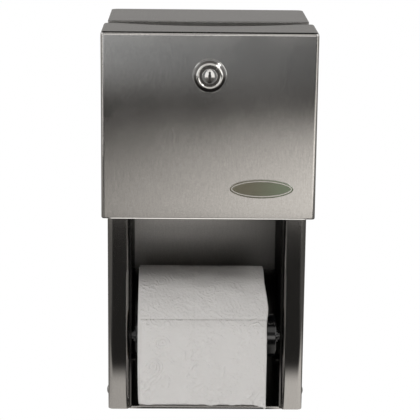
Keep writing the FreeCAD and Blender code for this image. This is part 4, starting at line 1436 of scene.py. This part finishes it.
@dataclass(frozen=True)
class Lamp:
    """Square soft lamp that points at the part."""

    name: str
    place: tuple[float, float, float]
    size: float
    power: float
    mirrored: bool = True

    def hang(self, target: Sequence[float]) -> None:
        """Add the lamp; the steel may leave it out of its reflections.

        Args:
            target: The point that it faces.
        """
        data = bpy.data.lights.new(self.name, "AREA")
        data.size = self.size
        data.energy = self.power
        lamp = bpy.data.objects.new(self.name, data)
        lamp.location = self.place
        lamp.visible_glossy = self.mirrored
        aim = Vector(target) - Vector(self.place)
        lamp.rotation_euler = aim.to_track_quat("-Z", "Y").to_euler()
        bpy.context.scene.collection.objects.link(lamp)


@dataclass
class Studio:
    """Pale floor, white surroundings, soft lamps and the cards that the steel mirrors."""

    floor_height: float = -0.9
    floor_reach: float = 14.0
    floor_shade: Colour = (0.82, 0.82, 0.82)
    white: Colour = (1.0, 1.0, 1.0)
    ambient: float = 0.11
    lamps: tuple[Lamp, ...] = (
        Lamp("key_lamp", (-0.6, -2.05, -0.45), 1.1, 23.4, mirrored=False),
        Lamp("top_lamp", (-0.2, -1.3, 1.75), 0.6, 7.5, mirrored=False),
        Lamp("side_lamp", (1.1, -1.0, 1.1), 0.35, 4.0),
    )
    cards: tuple[Card, ...] = (
        Card("back_card", (0.0, 0.95, 0.60), 1.2, 0.82, 0.31, 0.08, fade=(-0.45, -0.10)),
        Card("front_card", (0.0, -2.6, 0.65), 2.0, 0.85, 1.40, 0.15, fade=(-0.35, 0.05), lean=0.6),
        Card("ceiling_card", (0.0, -0.8, 1.50), 1.3, 1.8, 0.75, 0.02, tilt=0.0, fade=(-0.30, 0.10)),
        Card("hem_flag", (0.0, -0.138, -0.056), 0.070, 0.020, 1.5, 1.5, tilt=0.0, one_sided=True),
        Card("left_strip", (-1.0, -0.1, 0.0), 0.18, 0.5, 0.3, 0.3, turn=90.0),
        Card("left_flag", (-0.77, -0.77, -0.10), 0.18, 0.10, 1.0, 1.0, turn=-51.0),
        Card("right_flag", (0.77, -0.77, -0.10), 0.14, 0.10, 1.0, 1.0, turn=51.0),
    )
    target: tuple[float, float, float] = (0.0, -0.08, -0.06)

    def build(self) -> None:
        """Set up the stage, the lamps, the table, the cards and the camera."""
        self.world()
        self.floor()
        for lamp in self.lamps:
            lamp.hang(self.target)
        Board().build()
        for card in self.cards:
            card.build()
        PhotoCamera().build()
        settings = bpy.context.scene.view_settings
        settings.view_transform = "Standard"

    @staticmethod
    def seen(shader: Shader) -> Socket:
        """Tell rays that look from rays that only light.

        Args:
            shader: The tree to add to.

        Returns:
            One for rays that come straight from the camera or off metal and glass, else zero.
        """
        rays = "ShaderNodeLightPath"
        camera = shader.add(rays, output="Is Camera Ray")
        glossy = shader.add(rays, output="Is Glossy Ray")
        through = shader.add(rays, output="Is Transmission Ray")
        return camera.at_least(glossy).at_least(through)

    def world(self) -> None:
        """White to look at, softer as a light."""
        world = bpy.data.worlds.new("white_room")
        world.use_nodes = True
        shader = Shader(world.node_tree)
        level = self.ambient + self.seen(shader) * (1.0 - self.ambient)
        room = shader.add("ShaderNodeBackground", {}, {"Color": shader.tinted(self.white, level)})
        shader.end(room, "ShaderNodeOutputWorld")
        bpy.context.scene.world = world

    def floor(self) -> None:
        """A wide pale floor well below the wall-hung part."""
        shape = bmesh.new()
        bmesh.ops.create_grid(shape, x_segments=1, y_segments=1, size=self.floor_reach)
        bmesh.ops.translate(shape, vec=(0, 0, self.floor_height), verts=shape.verts[:])
        mesh = bpy.data.meshes.new("floor")
        shape.to_mesh(mesh)
        shape.free()
        material, shader = new_material("pale_floor")
        matt = shader.add("ShaderNodeBsdfDiffuse", {}, {"Color": opaque(self.floor_shade)})
        glow = shader.add("ShaderNodeEmission", {}, {"Color": opaque(self.white)})
        shader.end(shader.blended(self.seen(shader), matt, glow))
        mesh.materials.append(material)
        floor = bpy.data.objects.new("floor", mesh)
        bpy.context.scene.collection.objects.link(floor)


def main() -> None:
    """Build every sub-assembly, then the studio."""
    logging.basicConfig(level=logging.INFO, format="%(name)s: %(message)s")
    sheet = Steel("lined_steel").build()
    case = Steel("case_steel", roughness=0.11, contrast=0.2, spread=0.3, dull_roughness=0.38,
                 painted_shade=0.85, painted_slant_shade=5.0).build()
    lid = Steel("lid_steel", dull_roughness=0.5, dust=0.09, dull_depth=(-71.2 * MM, -71.9 * MM)).build()
    # near-black tracks: partly a darker finish, partly painted shade for the shadowed inside of the case
    track = Steel("track_steel", shade=(0.20, 0.195, 0.19), roughness=0.2, contrast=0.3,
                  edge_tint=0.1).build()
    part = Steel("plain_steel", polish=Polish.EVEN, roughness=0.28, line_width=0.4 * MM).build()
    wire = Steel("spring_wire", shade=(0.42, 0.42, 0.43), polish=Polish.EVEN, roughness=0.30,
                 line_width=0.2 * MM).build()
    low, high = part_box("lock_plug")
    axis = ((low.x + high.x) / 2, (low.z + high.z) / 2)
    chrome = Chrome("lock_chrome", axis, bands=((0.0, 6.9 * MM), (9.4 * MM, 11.0 * MM))).build()
    key_chrome = Chrome("key_chrome", axis, depth=low.y + 1.3 * MM).build()
    tissue = Tissue("tissue").build()
    last_sheet = Tissue("perforated_tissue", emboss=2.2, perforated=True).build()
    plastic = MouldedPlastic("black_plastic").build()
    cover = Cover()
    fill = Enamel("plate_enamel", cover.badge.across).build()
    Cabinet().dress(case, lid, sheet, track, part, wire)
    cover.dress(sheet, chrome, key_chrome, part, fill)
    Rolls().build(tissue, last_sheet, plastic)
    Studio().build()


if __name__ == "__main__":
    main()
